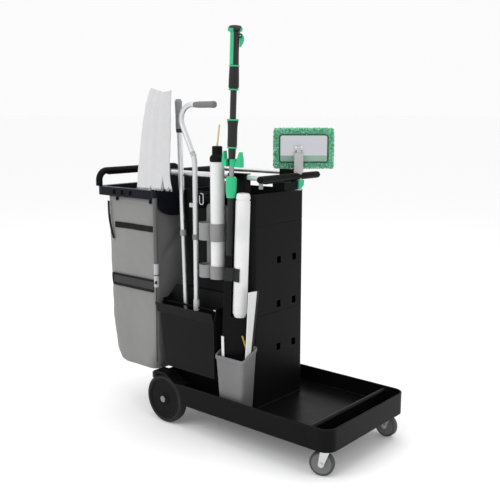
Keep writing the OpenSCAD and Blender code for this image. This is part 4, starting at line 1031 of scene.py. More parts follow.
@dataclass
class Rails(Assembly):
    """Rails over the tower with the front handle."""

    stub_place: Triple = (0.235, -0.171, 0.0)
    stub: Profile = ((0.0066, 0.9792), (0.0079, 0.9800), (0.0079, 0.9996))
    screw_places: tuple[Triple, ...] = ((0.092, 0.15, 1.0305), (0.138, 0.15, 1.0305))
    screw_r: float = 0.004

    solids: ClassVar[dict[str, Finish]] = {
        "near_rail": RAIL_METAL, "far_rail": RAIL_METAL, "rail_clamp": BLACK, "front_handle": BLACK,
        "handle_bracket": BLACK, "pad_clip": GREEN,
    }

    def build(self) -> None:
        """Make the screws of the clamp and the tube end under the handle."""
        stub = lathe(self.stub, steps=32).moved(Matrix.Translation(self.stub_place))
        stub.piece("handle_stub", GREY, "cart")
        heads = [screw_head(place, (0.0, 0.0, 1.0), self.screw_r) for place in self.screw_places]
        Shape().join(*heads).piece("rail_screws", DARK, "cart")


@dataclass
class BagFrame(Assembly):
    """Rear panel, bag frame and push bar."""

    solids: ClassVar[dict[str, Finish]] = {
        "rear_panel": NAVY, "bag_frame": NAVY, "bag_studs": NAVY, "push_bar": BLACK,
    }


class Section(NamedTuple):
    """Outline of the bag at one height."""

    z: float
    shift: float
    length: float
    width: float
    corner: float


class Band(NamedTuple):
    """A flat band sewn to the bag: its ends along the cart, its lower and upper heights and its lift."""

    name: str
    finish: Finish
    reach: Pair
    rise: Pair
    lift: float


@dataclass
class WasteBag(Assembly):
    """Cloth bag that hangs under the bag frame."""

    middle: float = -0.416
    top: float = 0.912
    columns: int = 176
    rows: int = 60
    crowding: float = 0.94
    thickness: float = 0.002
    sections: tuple[Section, ...] = (
        Section(0.187, 0.0, 0.217, 0.400, 0.036), Section(0.201, 0.001, 0.250, 0.424, 0.042),
        Section(0.247, 0.002, 0.268, 0.444, 0.046), Section(0.4045, -0.005, 0.302, 0.456, 0.044),
        Section(0.622, 0.0, 0.300, 0.456, 0.040), Section(0.912, 0.0, 0.298, 0.452, 0.034),
    )
    floor_shares: tuple[float, ...] = (0.9, 0.72, 0.5, 0.28, 0.08)
    floor_sag: float = 0.004
    front_corner: float = 0.35
    round_from: float = 0.300
    round_over: float = 0.09
    hang_over: float = 0.12
    foot_over: float = 0.06
    side_turn: float = 0.35
    fold_depths: Triple = (0.0056, 0.0026, 0.0030)
    fold_inset: float = 0.0014
    foot_fold: float = 0.3
    broad_scale: Triple = (9.0, 7.0, 2.2)
    slant_turns: Triple = (17.0, 21.0, 13.0)
    fine_scale: Triple = (26.0, 24.0, 15.0)
    fine_slant: Triple = (9.0, -7.0, 0.0)
    face_from: float = 0.12
    face_swell: float = 0.0015
    crease_low: Pair = (-0.195, 0.670)
    crease_high: Pair = (-0.090, 0.765)
    crease_reach: Pair = (-0.4, 1.6)
    crease_depth: float = 0.012
    crease_width: float = 0.014
    crease_half: float = 0.205
    crease_fade: float = 0.03
    bands: tuple[Band, ...] = (
        Band("bag_band", WEBBING, (-0.513, -0.279), (0.778, 0.802), 0.0018),
        Band("bag_pocket", NETTING, (-0.534, -0.281), (0.536, 0.580), 0.0022),
        Band("pocket_hem_low", WEBBING, (-0.535, -0.281), (0.531, 0.540), 0.0032),
        Band("pocket_hem_high", WEBBING, (-0.535, -0.281), (0.575, 0.582), 0.0032),
        Band("pocket_hem_side", WEBBING, (-0.538, -0.530), (0.535, 0.580), 0.0034),
    )
    band_steps: tuple[int, int] = (36, 4)
    band_edge: float = 0.75
    strap_start: Triple = (-0.5445, -0.2325, 0.888)
    strap_run: Pair = (0.026, -0.158)
    strap_bow: Pair = (0.006, 0.003)
    strap_half: float = 0.006
    strap_across: tuple[float, ...] = (-1.0, -0.3, 0.3, 1.0)
    strap_crown: float = 0.0012
    strap_thickness: float = 0.0018
    strap_steps: int = 16
    hem_profile: Profile = (
        (-0.0005, 0.0006), (-0.002, 0.0028), (-0.020, 0.0030), (-0.024, 0.0012), (-0.024, -0.0006),
    )
    flap_rear: float = 0.036
    flap_spread: float = 1.035
    flap_thickness: float = 0.0012
    flap_drops: Pair = (0.0010, 0.0006)
    flap_from: float = 0.06
    flap_over: float = 0.08
    piping_rise: Pair = (0.886, 0.226)
    piping_inset: float = 0.3
    piping_lift: float = 0.0006
    piping_r: float = 0.0017
    piping_steps: int = 29
    cast_y: float = -0.5
    cast_step: float = 0.002
    cast_reach: float = 0.1

    def section(self, z: float) -> Section:
        """The bag's outline between two of its sections.

        Args:
            z: Height.

        Returns:
            The outline there.
        """
        low = next((s for s in reversed(self.sections[:-1]) if s.z <= z), self.sections[0])
        high = self.sections[self.sections.index(low) + 1]
        t = clamp((z - low.z) / (high.z - low.z))
        return Section(*(a + (b - a) * t for a, b in zip(low, high)))

    def wall(self, z: float) -> Ring:
        """Evenly spaced points round the bag, with its folds.

        Args:
            z: Height.

        Returns:
            The points.
        """
        at = self.section(z)
        rounder = clamp((self.round_from - z) / self.round_over)
        share = self.front_corner + (1.0 - self.front_corner) * rounder
        ring = plan(at.length, at.width, at.corner, (self.middle + at.shift, 0.0), z, steps=12, last=share)
        steps = [(b - a).length for a, b in zip(ring, ring[1:] + ring[:1])]
        whole = sum(steps)
        spaced = []
        k = 0
        passed = 0.0
        for i in range(self.columns):
            goal = whole * i / self.columns
            while passed + steps[k] < goal:
                passed += steps[k]
                k += 1
            a = ring[k]
            b = ring[(k + 1) % len(ring)]
            spaced.append(a.lerp(b, (goal - passed) / max(steps[k], TINY)))
        return [self.folded(p, z) for p in spaced]

    def folded(self, point: Vector, z: float) -> Vector:
        """Push a point of the wall in or out by the cloth's folds.

        Args:
            point: The point on the smooth wall.
            z: Its height.

        Returns:
            The point on the folded wall.
        """
        x = point.x
        y = point.y
        out = Vector((x - self.middle, y * self.side_turn, 0.0)).normalized()
        hang = clamp((self.top - z) / self.hang_over)
        foot = clamp((z - self.sections[0].z) / self.foot_over)
        place = (x, y, z)
        broad = noise.noise(stretched(place, self.broad_scale))
        slant = math.sin(sum(p * turn for p, turn in zip(place, self.slant_turns)))
        aslant = zip(place, self.fine_scale, self.fine_slant)
        fine = noise.noise(Vector([p * scale + z * slope for p, scale, slope in aslant]))
        waves = zip(self.fold_depths, (broad, slant, fine))
        depth = sum(deep * wave for deep, wave in waves) - self.fold_inset
        if x > self.middle + self.face_from:
            inside = clamp((self.crease_half - abs(y)) / self.crease_fade)
            depth = min(depth, self.face_swell) - self.crease_depth * self.crease(y, z) * inside
        return point + out * depth * hang * (self.foot_fold + (1.0 - self.foot_fold) * foot)

    def crease(self, y: float, z: float) -> float:
        """The slanting crease on the bag's face towards the tower.

        Args:
            y: Place across the cart.
            z: Height.

        Returns:
            Share of the crease's depth there.
        """
        start = Vector(self.crease_low)
        run = Vector(self.crease_high) - start
        offset = Vector((y, z)) - start
        t = clamp(offset.dot(run) / run.length_squared, *self.crease_reach)
        away = (offset - run * t).length
        return math.exp(-(away / self.crease_width) ** 2)

    def build(self) -> None:
        """Make the bag with its hem, bands, pocket, piping and strap."""
        base = self.sections[0]
        drop = self.top - base.z
        shares = [(i / (self.rows - 1)) ** self.crowding for i in range(self.rows)]
        rings = [self.wall(self.top - drop * share) for share in shares]
        edge = rings[-1]
        middle = Vector((self.middle + base.shift, 0.0, base.z))
        for share in self.floor_shares:
            sag = Vector((0.0, 0.0, -self.floor_sag * (1.0 - share)))
            rings.append([middle + (p - middle) * share + sag for p in edge])
        shape = skin(rings, caps=False)
        shape.faces.append(tuple(range((len(rings) - 1) * self.columns, len(rings) * self.columns)))
        bag = shape.piece("bag_shell", BAG_CLOTH, "cart", angle=ALL_SMOOTH)
        thick = bag.modifiers.new("cloth", "SOLIDIFY")
        thick.thickness = self.thickness
        thick.offset = -1.0
        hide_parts("waste_bag")
        tree = BVHTree.FromPolygons([tuple(p) for p in shape.points], shape.faces)
        trim = [self.band(tree, band) for band in self.bands]
        trim += [self.strap(), self.hem(rings[0]), self.flap(rings[0])]
        trim.append(self.piping(tree, "bag_piping_rear", BAG_CLOTH, -1.0))
        trim.append(self.piping(tree, "bag_piping_front", NETTING, 1.0))

    def flap(self, ring: Ring) -> bpy.types.Object:
        """The cloth that runs out from the bag's top edge to the underside of its frame.

        Args:
            ring: The bag's top edge.

        Returns:
            The piece.
        """
        low, high = (self.top - drop for drop in self.flap_drops)
        inner = [Vector((p.x, p.y, low)) for p in ring]
        outer = []
        for p in inner:
            rear = clamp((self.middle - self.flap_from - p.x) / self.flap_over)
            outer.append(Vector((p.x - self.flap_rear * rear, p.y * self.flap_spread, high)))
        rows = [inner + inner[:1], outer + outer[:1]]
        return strip(rows, self.flap_thickness).piece("bag_flap", BAG_CLOTH, "cart")

    def on_near_face(self, tree: BVHTree, x: float, z: float, lift: float) -> Vector:
        """A point just off the bag's near face.

        Args:
            tree: The bag's faces.
            x: Place along the cart.
            z: Height.
            lift: How far it stands off the cloth.

        Returns:
            The point.
        """
        place = None
        while place is None or place.y > 0.0:
            place, _, _, _ = tree.ray_cast(Vector((x, self.cast_y, z)), Vector((0.0, 1.0, 0.0)))
            x += math.copysign(self.cast_step, self.middle - x)
        return place + Vector((0.0, -lift, 0.0))

    def band(self, tree: BVHTree, band: Band) -> bpy.types.Object:
        """A flat band on the bag's near face.

        Args:
            tree: The bag's faces.
            band: The band.

        Returns:
            The piece.
        """
        left, right = band.reach
        low, high = band.rise
        wide, tall = self.band_steps
        stops = [left + (right - left) * i / wide for i in range(wide + 1)]
        rows = []
        for j in range(tall + 1):
            z = high + (low - high) * j / tall
            swell = band.lift * (1.0 if 0 < j < tall else self.band_edge)
            rows.append([self.on_near_face(tree, x, z, swell) for x in stops])
        return strip(rows, -band.lift).piece(band.name, band.finish, "cart", angle=60.0)

    def strap(self) -> bpy.types.Object:
        """The narrow strap that hangs free at the bag's rear edge.

        Returns:
            The piece.
        """
        rows = []
        for j in range(self.strap_steps + 1):
            t = j / self.strap_steps
            bow = math.sin(math.pi * t)
            x = self.strap_start[0] + self.strap_run[0] * t - self.strap_bow[0] * bow
            y = self.strap_start[1] - self.strap_bow[1] * bow
            z = self.strap_start[2] + self.strap_run[1] * t
            row = []
            for s in self.strap_across:
                row.append(Vector((x + self.strap_half * s, y - self.strap_crown * (1.0 - s * s), z)))
            rows.append(row)
        return strip(rows, -self.strap_thickness).piece("bag_strap", WEBBING, "cart", angle=60.0)

    def hem(self, ring: Ring) -> bpy.types.Object:
        """The folded hem round the bag's mouth.

        Args:
            ring: The bag's top edge.

        Returns:
            The piece.
        """
        outs = [Vector((p.x - self.middle, p.y, 0.0)).normalized() for p in ring]
        rings = []
        for z, lift in self.hem_profile:
            rings.append([p + out * lift + Vector((0.0, 0.0, z)) for p, out in zip(ring, outs)])
        return skin(rings, loop=True).piece("bag_hem", BAG_CLOTH, "cart", angle=60.0)

    def piping(self, tree: BVHTree, name: str, finish: Finish, side: float) -> bpy.types.Object:
        """The corded seam down one of the bag's near corners.

        Args:
            tree: The bag's faces.
            name: The piece's name.
            finish: Its finish.
            side: 1 at the corner towards the tower, -1 at the other.

        Returns:
            The piece.
        """
        path = []
        out = Vector((side, -1.0, 0.0)).normalized()
        high, low = self.piping_rise
        for i in range(self.piping_steps + 1):
            z = high + (low - high) * i / self.piping_steps
            at = self.section(z)
            inset = at.corner * self.piping_inset
            x = self.middle + at.shift + side * (at.length / 2.0 - inset)
            aim = Vector((x, -at.width / 2.0 + inset, z))
            place, _, _, _ = tree.ray_cast(aim + out * self.cast_reach, -out)
            path.append(place + out * self.piping_lift)
        return tube(path, self.piping_r, sides=8).piece(name, finish, "cart")


@dataclass
class BottleHolder(Assembly):
    """Twin bottle holder on the tower's near side, with one bottle in it."""

    cap_ribs: Ribs = Ribs((0.042, -0.1928), 0.0272, 1.0755, 0.0125, 0.0011, 6)
    rib_count: int = 40

    solids: ClassVar[dict[str, Finish]] = {
        "bottle_holder": GREY, "spare_bottle": WHITE, "spare_cap": BLACK, "yellow_tube": CREAM,
    }

    def build(self) -> None:
        """Make the ribs of the bottle's cap."""
        self.cap_ribs.shape(around(self.rib_count)).piece("cap_ribs", BLACK, "bottle")


@dataclass
class FloorMop(Assembly):
    """Floor mop with its refill bottle, clipped to the near rail. Its sizes are in its own frame."""

    foot: Triple = (0.097, -0.216, 0.130)
    lean: float = 2.3
    turn: float = 30.0
    grip_r: float = 0.0165
    grip_lap: float = 0.0002
    grips: tuple[tuple[str, Profile], ...] = (
        ("mop_grip_low", (
            (0.0172, 1.0035), (0.0178, 1.010), (0.0176, 1.030), (0.0175, 1.055), (0.0180, 1.075),
            (0.0194, 1.088), (0.0204, 1.094),
        )),
        ("mop_grip_high", (
            (0.0184, 1.2090), (0.0190, 1.214), (0.0186, 1.240), (0.0178, 1.265), (0.0172, 1.2815),
        )),
    )
    collar: Profile = (
        (0.0165, 1.0945), (0.0205, 1.0945), (0.0220, 1.0957), (0.0220, 1.0985), (0.0208, 1.0998),
        (0.0165, 1.0998),
    )
    strip_lip: Profile = ((0.0268, 1.4125), (0.0263, 1.4052), (0.0212, 1.4015))
    strip_top: float = 1.400
    strip_proud: float = 0.0008
    strip_thickness: float = 0.0024
    strip_runs: tuple[Triple, ...] = ((140.0, 126.0, 1.2895), (-35.0, 80.0, 1.399))
    strip_steps: tuple[int, int] = (14, 20)
    clip_ribs: Ribs = Ribs((0.046, 0.0), 0.0307, 0.511, 0.042, 0.0013, 8)
    rib_start: float = 192.0
    rib_pitch: float = 7.5
    rib_count: int = 8
    trigger_pin: Pair = (0.0205, 1.388)
    trigger_heart: Pair = (0.004, -0.018)
    trigger_outline: Profile = (
        (-0.0032, 0.008), (0.001, 0.0095), (0.006, 0.006), (0.0105, -0.002), (0.0125, -0.010),
        (0.0115, -0.018), (0.0078, -0.027), (0.0025, -0.035), (-0.0010, -0.0390), (-0.0028, -0.036),
        (-0.0032, -0.018),
    )
    trigger_slices: Profile = (
        (-0.0055, 0.80), (-0.0050, 0.92), (-0.0038, 1.0), (0.0038, 1.0), (0.0050, 0.92), (0.0055, 0.80),
    )

    solids: ClassVar[dict[str, Finish]] = {
        "mop_clip": BLACK, "mop_jaws": GREEN, "mop_pole": DARK, "mop_sleeve": GREEN, "refill_bottle": WHITE,
        "refill_clip": DARK, "mop_head": BLACK, "mop_upper": MOP_HANDLE, "mop_rings": GREEN,
        "trigger_pin": STEEL,
    }

    def matrix(self) -> Matrix:
        """From the mop's own frame to the cart's."""
        lean = Matrix.Rotation(math.radians(self.lean), 4, "Y")
        return Matrix.Translation(self.foot) @ lean @ Matrix.Rotation(math.radians(self.turn), 4, "Z")

    def build(self) -> None:
        """Make the grips, the handle's strip, the ribs of the refill clip and the trigger."""
        place = self.matrix()
        inner = self.grip_r - self.grip_lap
        for name, profile in self.grips:
            loop = [(inner, profile[-1][1]), (inner, profile[0][1]), *profile]
            lathe(loop, loop=True).moved(place).piece(name, DARK, "mop_handle", angle=50.0)
        lathe(self.collar, loop=True).moved(place).piece("mop_collar", GREEN, "mop_handle")
        self.handle_strip().moved(place).piece("mop_handle_strip", GREEN, "mop_handle")
        angles = [math.radians(self.rib_start + self.rib_pitch * k) for k in range(self.rib_count)]
        self.clip_ribs.shape(angles).moved(place).piece("refill_clip_ribs", DARK, "cart")
        lever = self.trigger().moved(place).piece("trigger_shell", GREEN, "trigger", angle=50.0)
        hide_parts("mop_trigger")

    def trigger(self) -> Shape:
        """The rounded trigger in the handle's slot, with room to swing inwards.

        Returns:
            The shape in the mop's frame.
        """
        heart_x, heart_z = self.trigger_heart
        x = self.trigger_pin[0] + heart_x
        z = self.trigger_pin[1] + heart_z
        rings = []
        for y, share in self.trigger_slices:
            turned = [((a - heart_x) * share, (b - heart_z) * share) for a, b in self.trigger_outline]
            rings.append([Vector((x + a, y, z + b)) for a, b in turned])
        return skin(rings)

    def handle_strip(self) -> Shape:
        """The coloured strip let into the top handle, with its lips under the knob.

        Returns:
            The shape in the mop's frame.
        """
        wide, tall = self.strip_steps
        top = self.strip_top
        shape = Shape()
        for start, spread, foot in self.strip_runs:
            stem = [(self.grip_r + self.strip_proud, top + (foot - top) * j / tall) for j in range(tall + 1)]
            angles = [math.radians(start + spread * i / wide) for i in range(wide + 1)]
            rows = [[on_circle(r, a, z) for a in angles] for r, z in [*self.strip_lip, *stem]]
            shape.join(strip(rows, self.strip_thickness))
        return shape


@dataclass
class Bucket(Assembly):
    """Small bucket on the tray with the blades that stand in it.

    Each of its rings has a height, a length, a width and a corner radius. They go up outside and down inside.
    """

    middle: Pair = (0.144, -0.206)
    width: float = 0.088
    rim_rise: float = 0.040
    rim_from: float = 0.3
    rings: tuple[tuple[float, float, float, float], ...] = (
        (0.121, 0.109, 0.070, 0.012), (0.123, 0.111, 0.072, 0.013), (0.329, 0.139, 0.0838, 0.012),
        (0.3295, 0.145, 0.088, 0.013), (0.331, 0.146, 0.089, 0.0135), (0.341, 0.146, 0.089, 0.0135),
        (0.343, 0.144, 0.087, 0.013), (0.343, 0.135, 0.080, 0.010), (0.3415, 0.133, 0.078, 0.009),
        (0.330, 0.133, 0.078, 0.009), (0.125, 0.1032, 0.0642, 0.009),
    )
    blade_foot: Triple = (0.1905, -0.206, 0.1253)
    blade_lean: float = 3.0
    edge_lap: float = 0.0008
    edge_thickness: float = 0.0056
    edge_outline: Profile = (
        (0.0105, 0.205), (0.0218, 0.205), (0.0222, 0.222), (0.0446, 0.4750), (0.0330, 0.4757),
        (0.0112, 0.222),
    )
    stick: tuple[Triple, ...] = (
        (0.1925, -0.2255, 0.4335), (0.1985, -0.2215, 0.410), (0.2045, -0.2175, 0.386),
    )
    stick_r: float = 0.0032

    solids: ClassVar[dict[str, Finish]] = {"blades": WHITE}

    def build(self) -> None:
        """Make the bucket's shell, the blade's dark edge and the yellow stick."""
        rings = [plan(length, width, corner, self.middle, z, 10) for z, length, width, corner in self.rings]
        for point in (p for ring in rings for p in ring):
            if point.z > self.rim_from:
                point.z += self.rim_rise * (0.5 + (point.y - self.middle[1]) / self.width)
        shell = skin(rings).piece("bucket_shell", BUCKET_GREY, "cart")
        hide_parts("bucket")
        lean = Matrix.Rotation(math.radians(self.blade_lean), 4, "Y")
        lap = Matrix.Translation((-self.edge_lap, 0.0, 0.0))
        place = Matrix.Translation(self.blade_foot) @ lean @ lap @ UPRIGHT
        slab(self.edge_outline, self.edge_thickness).moved(place).piece("blade_edge", TYRE, "cart")
        tube([Vector(p) for p in self.stick], self.stick_r, sides=10).piece("yellow_stick", YELLOW, "cart")


@dataclass
class Dustpan(Assembly):
    """Dustpan on its rod with the cane that carries it."""

    x: float = -0.058
    y: float = -0.210
    tube_r: float = 0.010
    lean: float = 27.0
    shaft_stops: tuple[float, ...] = (0.516, 0.8, 1.03)
    low_r: float = 0.080
    low_z: float = 1.060
    neck: float = 0.118
    bend_r: float = 0.055
    grip_lead: float = 0.016
    bend_steps: tuple[int, int] = (12, 28)
    collar_step: int = 15
    collar_profile: Profile = (
        (-0.0004, -0.009), (0.0011, -0.0085), (0.0011, -0.005), (0.0003, -0.0043), (0.0003, 0.0043),
        (0.0011, 0.005), (0.0011, 0.0085), (-0.0004, 0.009),
    )
    finger: Triple = (0.0205, 0.0085, 0.002)
    finger_place: Pair = (-0.0788, -0.2085)
    finger_stops: Profile = (
        (0.8935, 0.0012), (0.8945, 0.0), (0.9085, 0.0), (0.9095, 0.0012),
    )
    rod_z: float = 0.502
    bush: Profile = ((0.0040, 0.036), (0.0052, 0.0365), (0.0052, 0.0505), (0.0040, 0.051))

    solids: ClassVar[dict[str, Finish]] = {
        "dustpan": PAN_BLACK, "pan_rod": BLACK, "cane_fittings": CANE_FITTINGS, "cane_clip": BLACK,
    }

    def route(self) -> list[Vector]:
        """The cane's centreline, from the pan's rod to the grip.

        Returns:
            Its points.
        """
        lean = math.radians(self.lean)
        low = (self.x - self.low_r * (1.0 - math.cos(lean)), self.low_z + self.low_r * math.sin(lean))
        high = (low[0] - self.neck * math.sin(lean), low[1] + self.neck * math.cos(lean))
        turn = (high[0] + self.bend_r * math.cos(lean), high[1] + self.bend_r * math.sin(lean))
        low_steps, high_steps = self.bend_steps
        stops = [(self.x, z) for z in self.shaft_stops]
        for i in range(low_steps + 1):
            a = lean * i / low_steps
            stops.append((self.x + self.low_r * (math.cos(a) - 1.0), self.low_z + self.low_r * math.sin(a)))
        for i in range(high_steps + 1):
            b = math.pi + lean - (QUARTER_TURN + lean) * i / high_steps
            stops.append((turn[0] + self.bend_r * math.cos(b), turn[1] + self.bend_r * math.sin(b)))
        stops.append((turn[0] + self.grip_lead, turn[1] + self.bend_r))
        return [Vector((x, self.y, z)) for x, z in stops]

    def collar(self, route: Sequence[Vector]) -> Shape:
        """The two thin rings where the cane's hook is let into its tube.

        Args:
            route: The cane's centreline.

        Returns:
            The shape.
        """
        low, high = route[self.collar_step:self.collar_step + 2]
        profile = [(self.tube_r + proud, z) for proud, z in self.collar_profile]
        return lathe(profile, steps=32, loop=True).moved(standing(low, high - low))

    def build(self) -> None:
        """Make the cane's tube with its collar, the finger of its clip and the bush on the pan's rod."""
        route = self.route()
        cane = tube(route, self.tube_r, sides=32).piece("cane_pipe", POLE_METAL, "cart")
        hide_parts("cane_tube")
        self.collar(route).piece("cane_collar", LIGHT_GREY, "cart")
        length, width, corner = self.finger
        rings = []
        for z, inset in self.finger_stops:
            trim = 2.0 * inset
            rings.append(plan(length - trim, width - trim, corner, self.finger_place, z, steps=4))
        skin(rings).piece("cane_finger", LIGHT_GREY, "cart")
        lie = Matrix.Translation((0.0, self.y, self.rod_z)) @ Matrix.Rotation(QUARTER_TURN, 4, "Y")
        lathe(self.bush, steps=28, loop=True).moved(lie).piece("rod_bush", STEEL, "cart")


@dataclass
class Pole(Assembly):
    """Telescopic pole that leans on the near rail."""

    foot: Triple = (-0.118, -0.201, 0.245925)
    rest: Triple = (-0.172, -0.1718, 1.017)
    grip: Profile = (
        (0.0126, 0.934), (0.0136, 0.936), (0.0144, 0.955), (0.0138, 0.982), (0.0133, 1.005), (0.0138, 1.028),
        (0.0146, 1.046), (0.0142, 1.053), (0.0126, 1.0545),
    )

    solids: ClassVar[dict[str, Finish]] = {"pole_lower": POLE_METAL, "pole_upper": POLE_TUBE}

    def build(self) -> None:
        """Make the swells of the pole's grip."""
        stand = standing(self.foot, Vector(self.rest) - Vector(self.foot))
        grip = lathe(self.grip, steps=36, loop=True).moved(stand)
        grip.piece("pole_grip", POLE_TUBE, "pole_slider", angle=60.0)


@dataclass
class Duster(Assembly):
    """High duster with its fleece sleeve.

    Each cut in the sleeve's foot has its place and half width as shares of the width, and its depth.
    Each wave of its edges has a depth, its turn over the height in radians and its phase.
    Each bow of the rear edge has a share of its run and the power of the height that it follows.
    """

    place: Triple = (-0.250, -0.2425, 0.9663)
    height: float = 0.385
    width: float = 0.186
    top_width: float = 0.112
    foot_shift: float = 0.008
    foot_slope: float = 0.004
    foot_drop: float = 0.009
    foot_flare: float = 0.014
    lean: float = 0.050
    edge_waves: tuple[Triple, ...] = ((0.0010, 11.0, 2.0), (0.0006, 37.0, 1.0))
    front_power: float = 0.9
    rear_bows: Profile = ((0.80, 1.3), (0.18, 12.0))
    flare_power: int = 14
    foot_power: int = 6
    top_power: int = 12
    top_thinning: float = 0.25
    thickness: float = 0.022
    columns: int = 72
    rows: int = 72
    fold_depth: float = 0.0010
    fold_count: float = 3.5
    fold_twist: float = 70.0
    crease_depths: Pair = (0.0008, 0.0006)
    crease_scales: tuple[Triple, ...] = ((11.0, 5.0, 3.0), (30.0, 24.0, 7.0))
    cuts: tuple[Triple, ...] = ((0.46, 0.03, 0.014), (0.78, 0.05, 0.042), (0.93, 0.03, 0.010))
    notch_at: float = 0.64
    notch_depth: float = 0.019
    notch_slope: float = 0.022
    top_drop: float = 0.005
    strands: int = 150
    strand_seed: int = 7
    strand_root: Pair = (0.004, 0.7)
    strand_r: float = 0.0007
    strand_drop: Pair = (0.004, 0.012)
    strand_sway: Pair = (0.003, 0.002)
    cap_r: float = 0.0104
    # Profile of the dark band of painted shade in the cap's groove
    groove: Profile = (
        (0.0097, 0.6068), (0.0104, 0.6072), (0.0104, 0.6108), (0.0097, 0.6112),
    )
    slot_angle: float = -50.0
    slot_z: float = 0.580
    slot_half: float = 0.0075
    slot_depth: float = 0.0008
    slot_arc: Pair = (4.0, 20.0)
    slot_steps: tuple[int, int] = (4, 6)

    solids: ClassVar[dict[str, Finish]] = {"duster_rod": DUSTER_ROD}

    def edge(self, t: float, side: float) -> float:
        """Where one of the sleeve's side edges lies.

        Args:
            t: Share of the height.
            side: 1 at the edge towards the tower, -1 at the other.

        Returns:
            Its place along the cart.
        """
        low = side * self.width / 2.0 - self.foot_shift
        high = self.lean + side * self.top_width / 2.0
        wave = sum(deep * math.sin(turn * t + phase * side) for deep, turn, phase in self.edge_waves)
        if side > 0:
            flare = self.foot_flare * (1.0 - t) ** self.flare_power
            return low + (high - low) * t ** self.front_power + wave + flare
        return low + (high - low) * sum(share * t ** power for share, power in self.rear_bows) + wave

    def point(self, t: float, u: float, face: float) -> Vector:
        """A point of the sleeve.

        Args:
            t: Share of the height.
            u: Share of the width.
            face: -1 on the near face, 1 on the far face.

        Returns:
            The point in the cart's frame.
        """
        x = self.edge(t, -1.0) * (1.0 - u) + self.edge(t, 1.0) * u
        swell = max(math.sin(math.pi * u), 0.0)
        body = self.thickness / 2.0 * math.sqrt(swell) * (1.0 - self.top_thinning * t)
        phase = FULL_TURN * self.fold_count * u + math.radians(self.fold_twist) * t
        fold = self.fold_depth * math.sin(phase) * swell
        crease = 0.0
        for deep, scale in zip(self.crease_depths, self.crease_scales):
            crease += deep * noise.noise(stretched((u, t, face), scale)) * swell
        cuts = sum(deep * max(0.0, 1.0 - abs(u - at) / half) for at, half, deep in self.cuts)
        low = (self.foot_slope * u - self.foot_drop + cuts) * (1.0 - t) ** self.foot_power
        past = u - self.notch_at
        notch = self.notch_depth - self.notch_slope * past
        if past < 0.0:
            notch = self.notch_depth * u / self.notch_at
        z = self.height * t + low - (self.top_drop + notch) * t ** self.top_power
        return Vector(self.place) + Vector((x, fold + face * (body + crease), z))

    def build(self) -> None:
        """Make the sleeve, its fringe and the painted shade in the groove and slot of the rod's end cap."""
        rings = []
        for j in range(self.rows + 1):
            t = j / self.rows
            ring = [self.point(t, i / self.columns, -1.0) for i in range(self.columns + 1)]
            ring += [self.point(t, i / self.columns, 1.0) for i in range(self.columns - 1, 0, -1)]
            rings.append(ring)
        shape = skin(rings, caps=False)
        count = 2 * self.columns
        for start, flip in ((0, 1), (self.rows * count, -1)):
            for i in range(self.columns):
                quad = [start + k % count for k in (i, i + 1, count - i - 1, count - i)]
                shape.faces.append(tuple(dict.fromkeys(quad[::flip])))
        sleeve = shape.piece("duster_fleece", FLEECE, "duster", angle=ALL_SMOOTH)
        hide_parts("duster_sleeve")
        fringe = self.fringe()
        # Dark bands of painted shade in the cap's groove and hanging slot
        self.cap_shade_marks().piece("duster_cap_shade", TYRE, "duster")

    def cap_shade_marks(self) -> Shape:
        """Painted shade: dark bands in the groove round the rod's end cap and in the slot that it hangs by.

        Returns:
            The shape.
        """
        shape = lathe(self.groove, steps=32, loop=True)
        wide, tall = self.slot_steps
        end, bulge = self.slot_arc
        middle = math.radians(self.slot_angle)
        rows = []
        for j in range(2 * tall + 1):
            rise = j / tall - 1.0
            half = math.radians(end + bulge * math.sqrt(1.0 - rise * rise))
            angles = [middle + half * (i / wide - 1.0) for i in range(2 * wide + 1)]
            rows.append([on_circle(self.cap_r, a, self.slot_z + self.slot_half * rise) for a in angles])
        shape.join(strip(rows, self.slot_depth))
        return shape.moved(Matrix.Translation((*self.place[:2], 0.0)))

    def fringe(self) -> bpy.types.Object:
        """The loose strands along the sleeve's lower edge.

        Returns:
            The piece.
        """
        draw = random.Random(self.strand_seed)
        shape = Shape()
        rise, inset = self.strand_root
        for i in range(self.strands):
            u = (i + 0.5) / self.strands
            face = -1.0 if i % 2 else 1.0
            root = self.point(rise, u, face * inset)
            drop = draw.uniform(*self.strand_drop)
            sway = Vector((*(draw.uniform(-most, most) for most in self.strand_sway), -drop))
            shape.join(tube([root, root + sway * 0.5, root + sway], self.strand_r, sides=5))
        return shape.piece("duster_fringe", FLEECE, "duster")


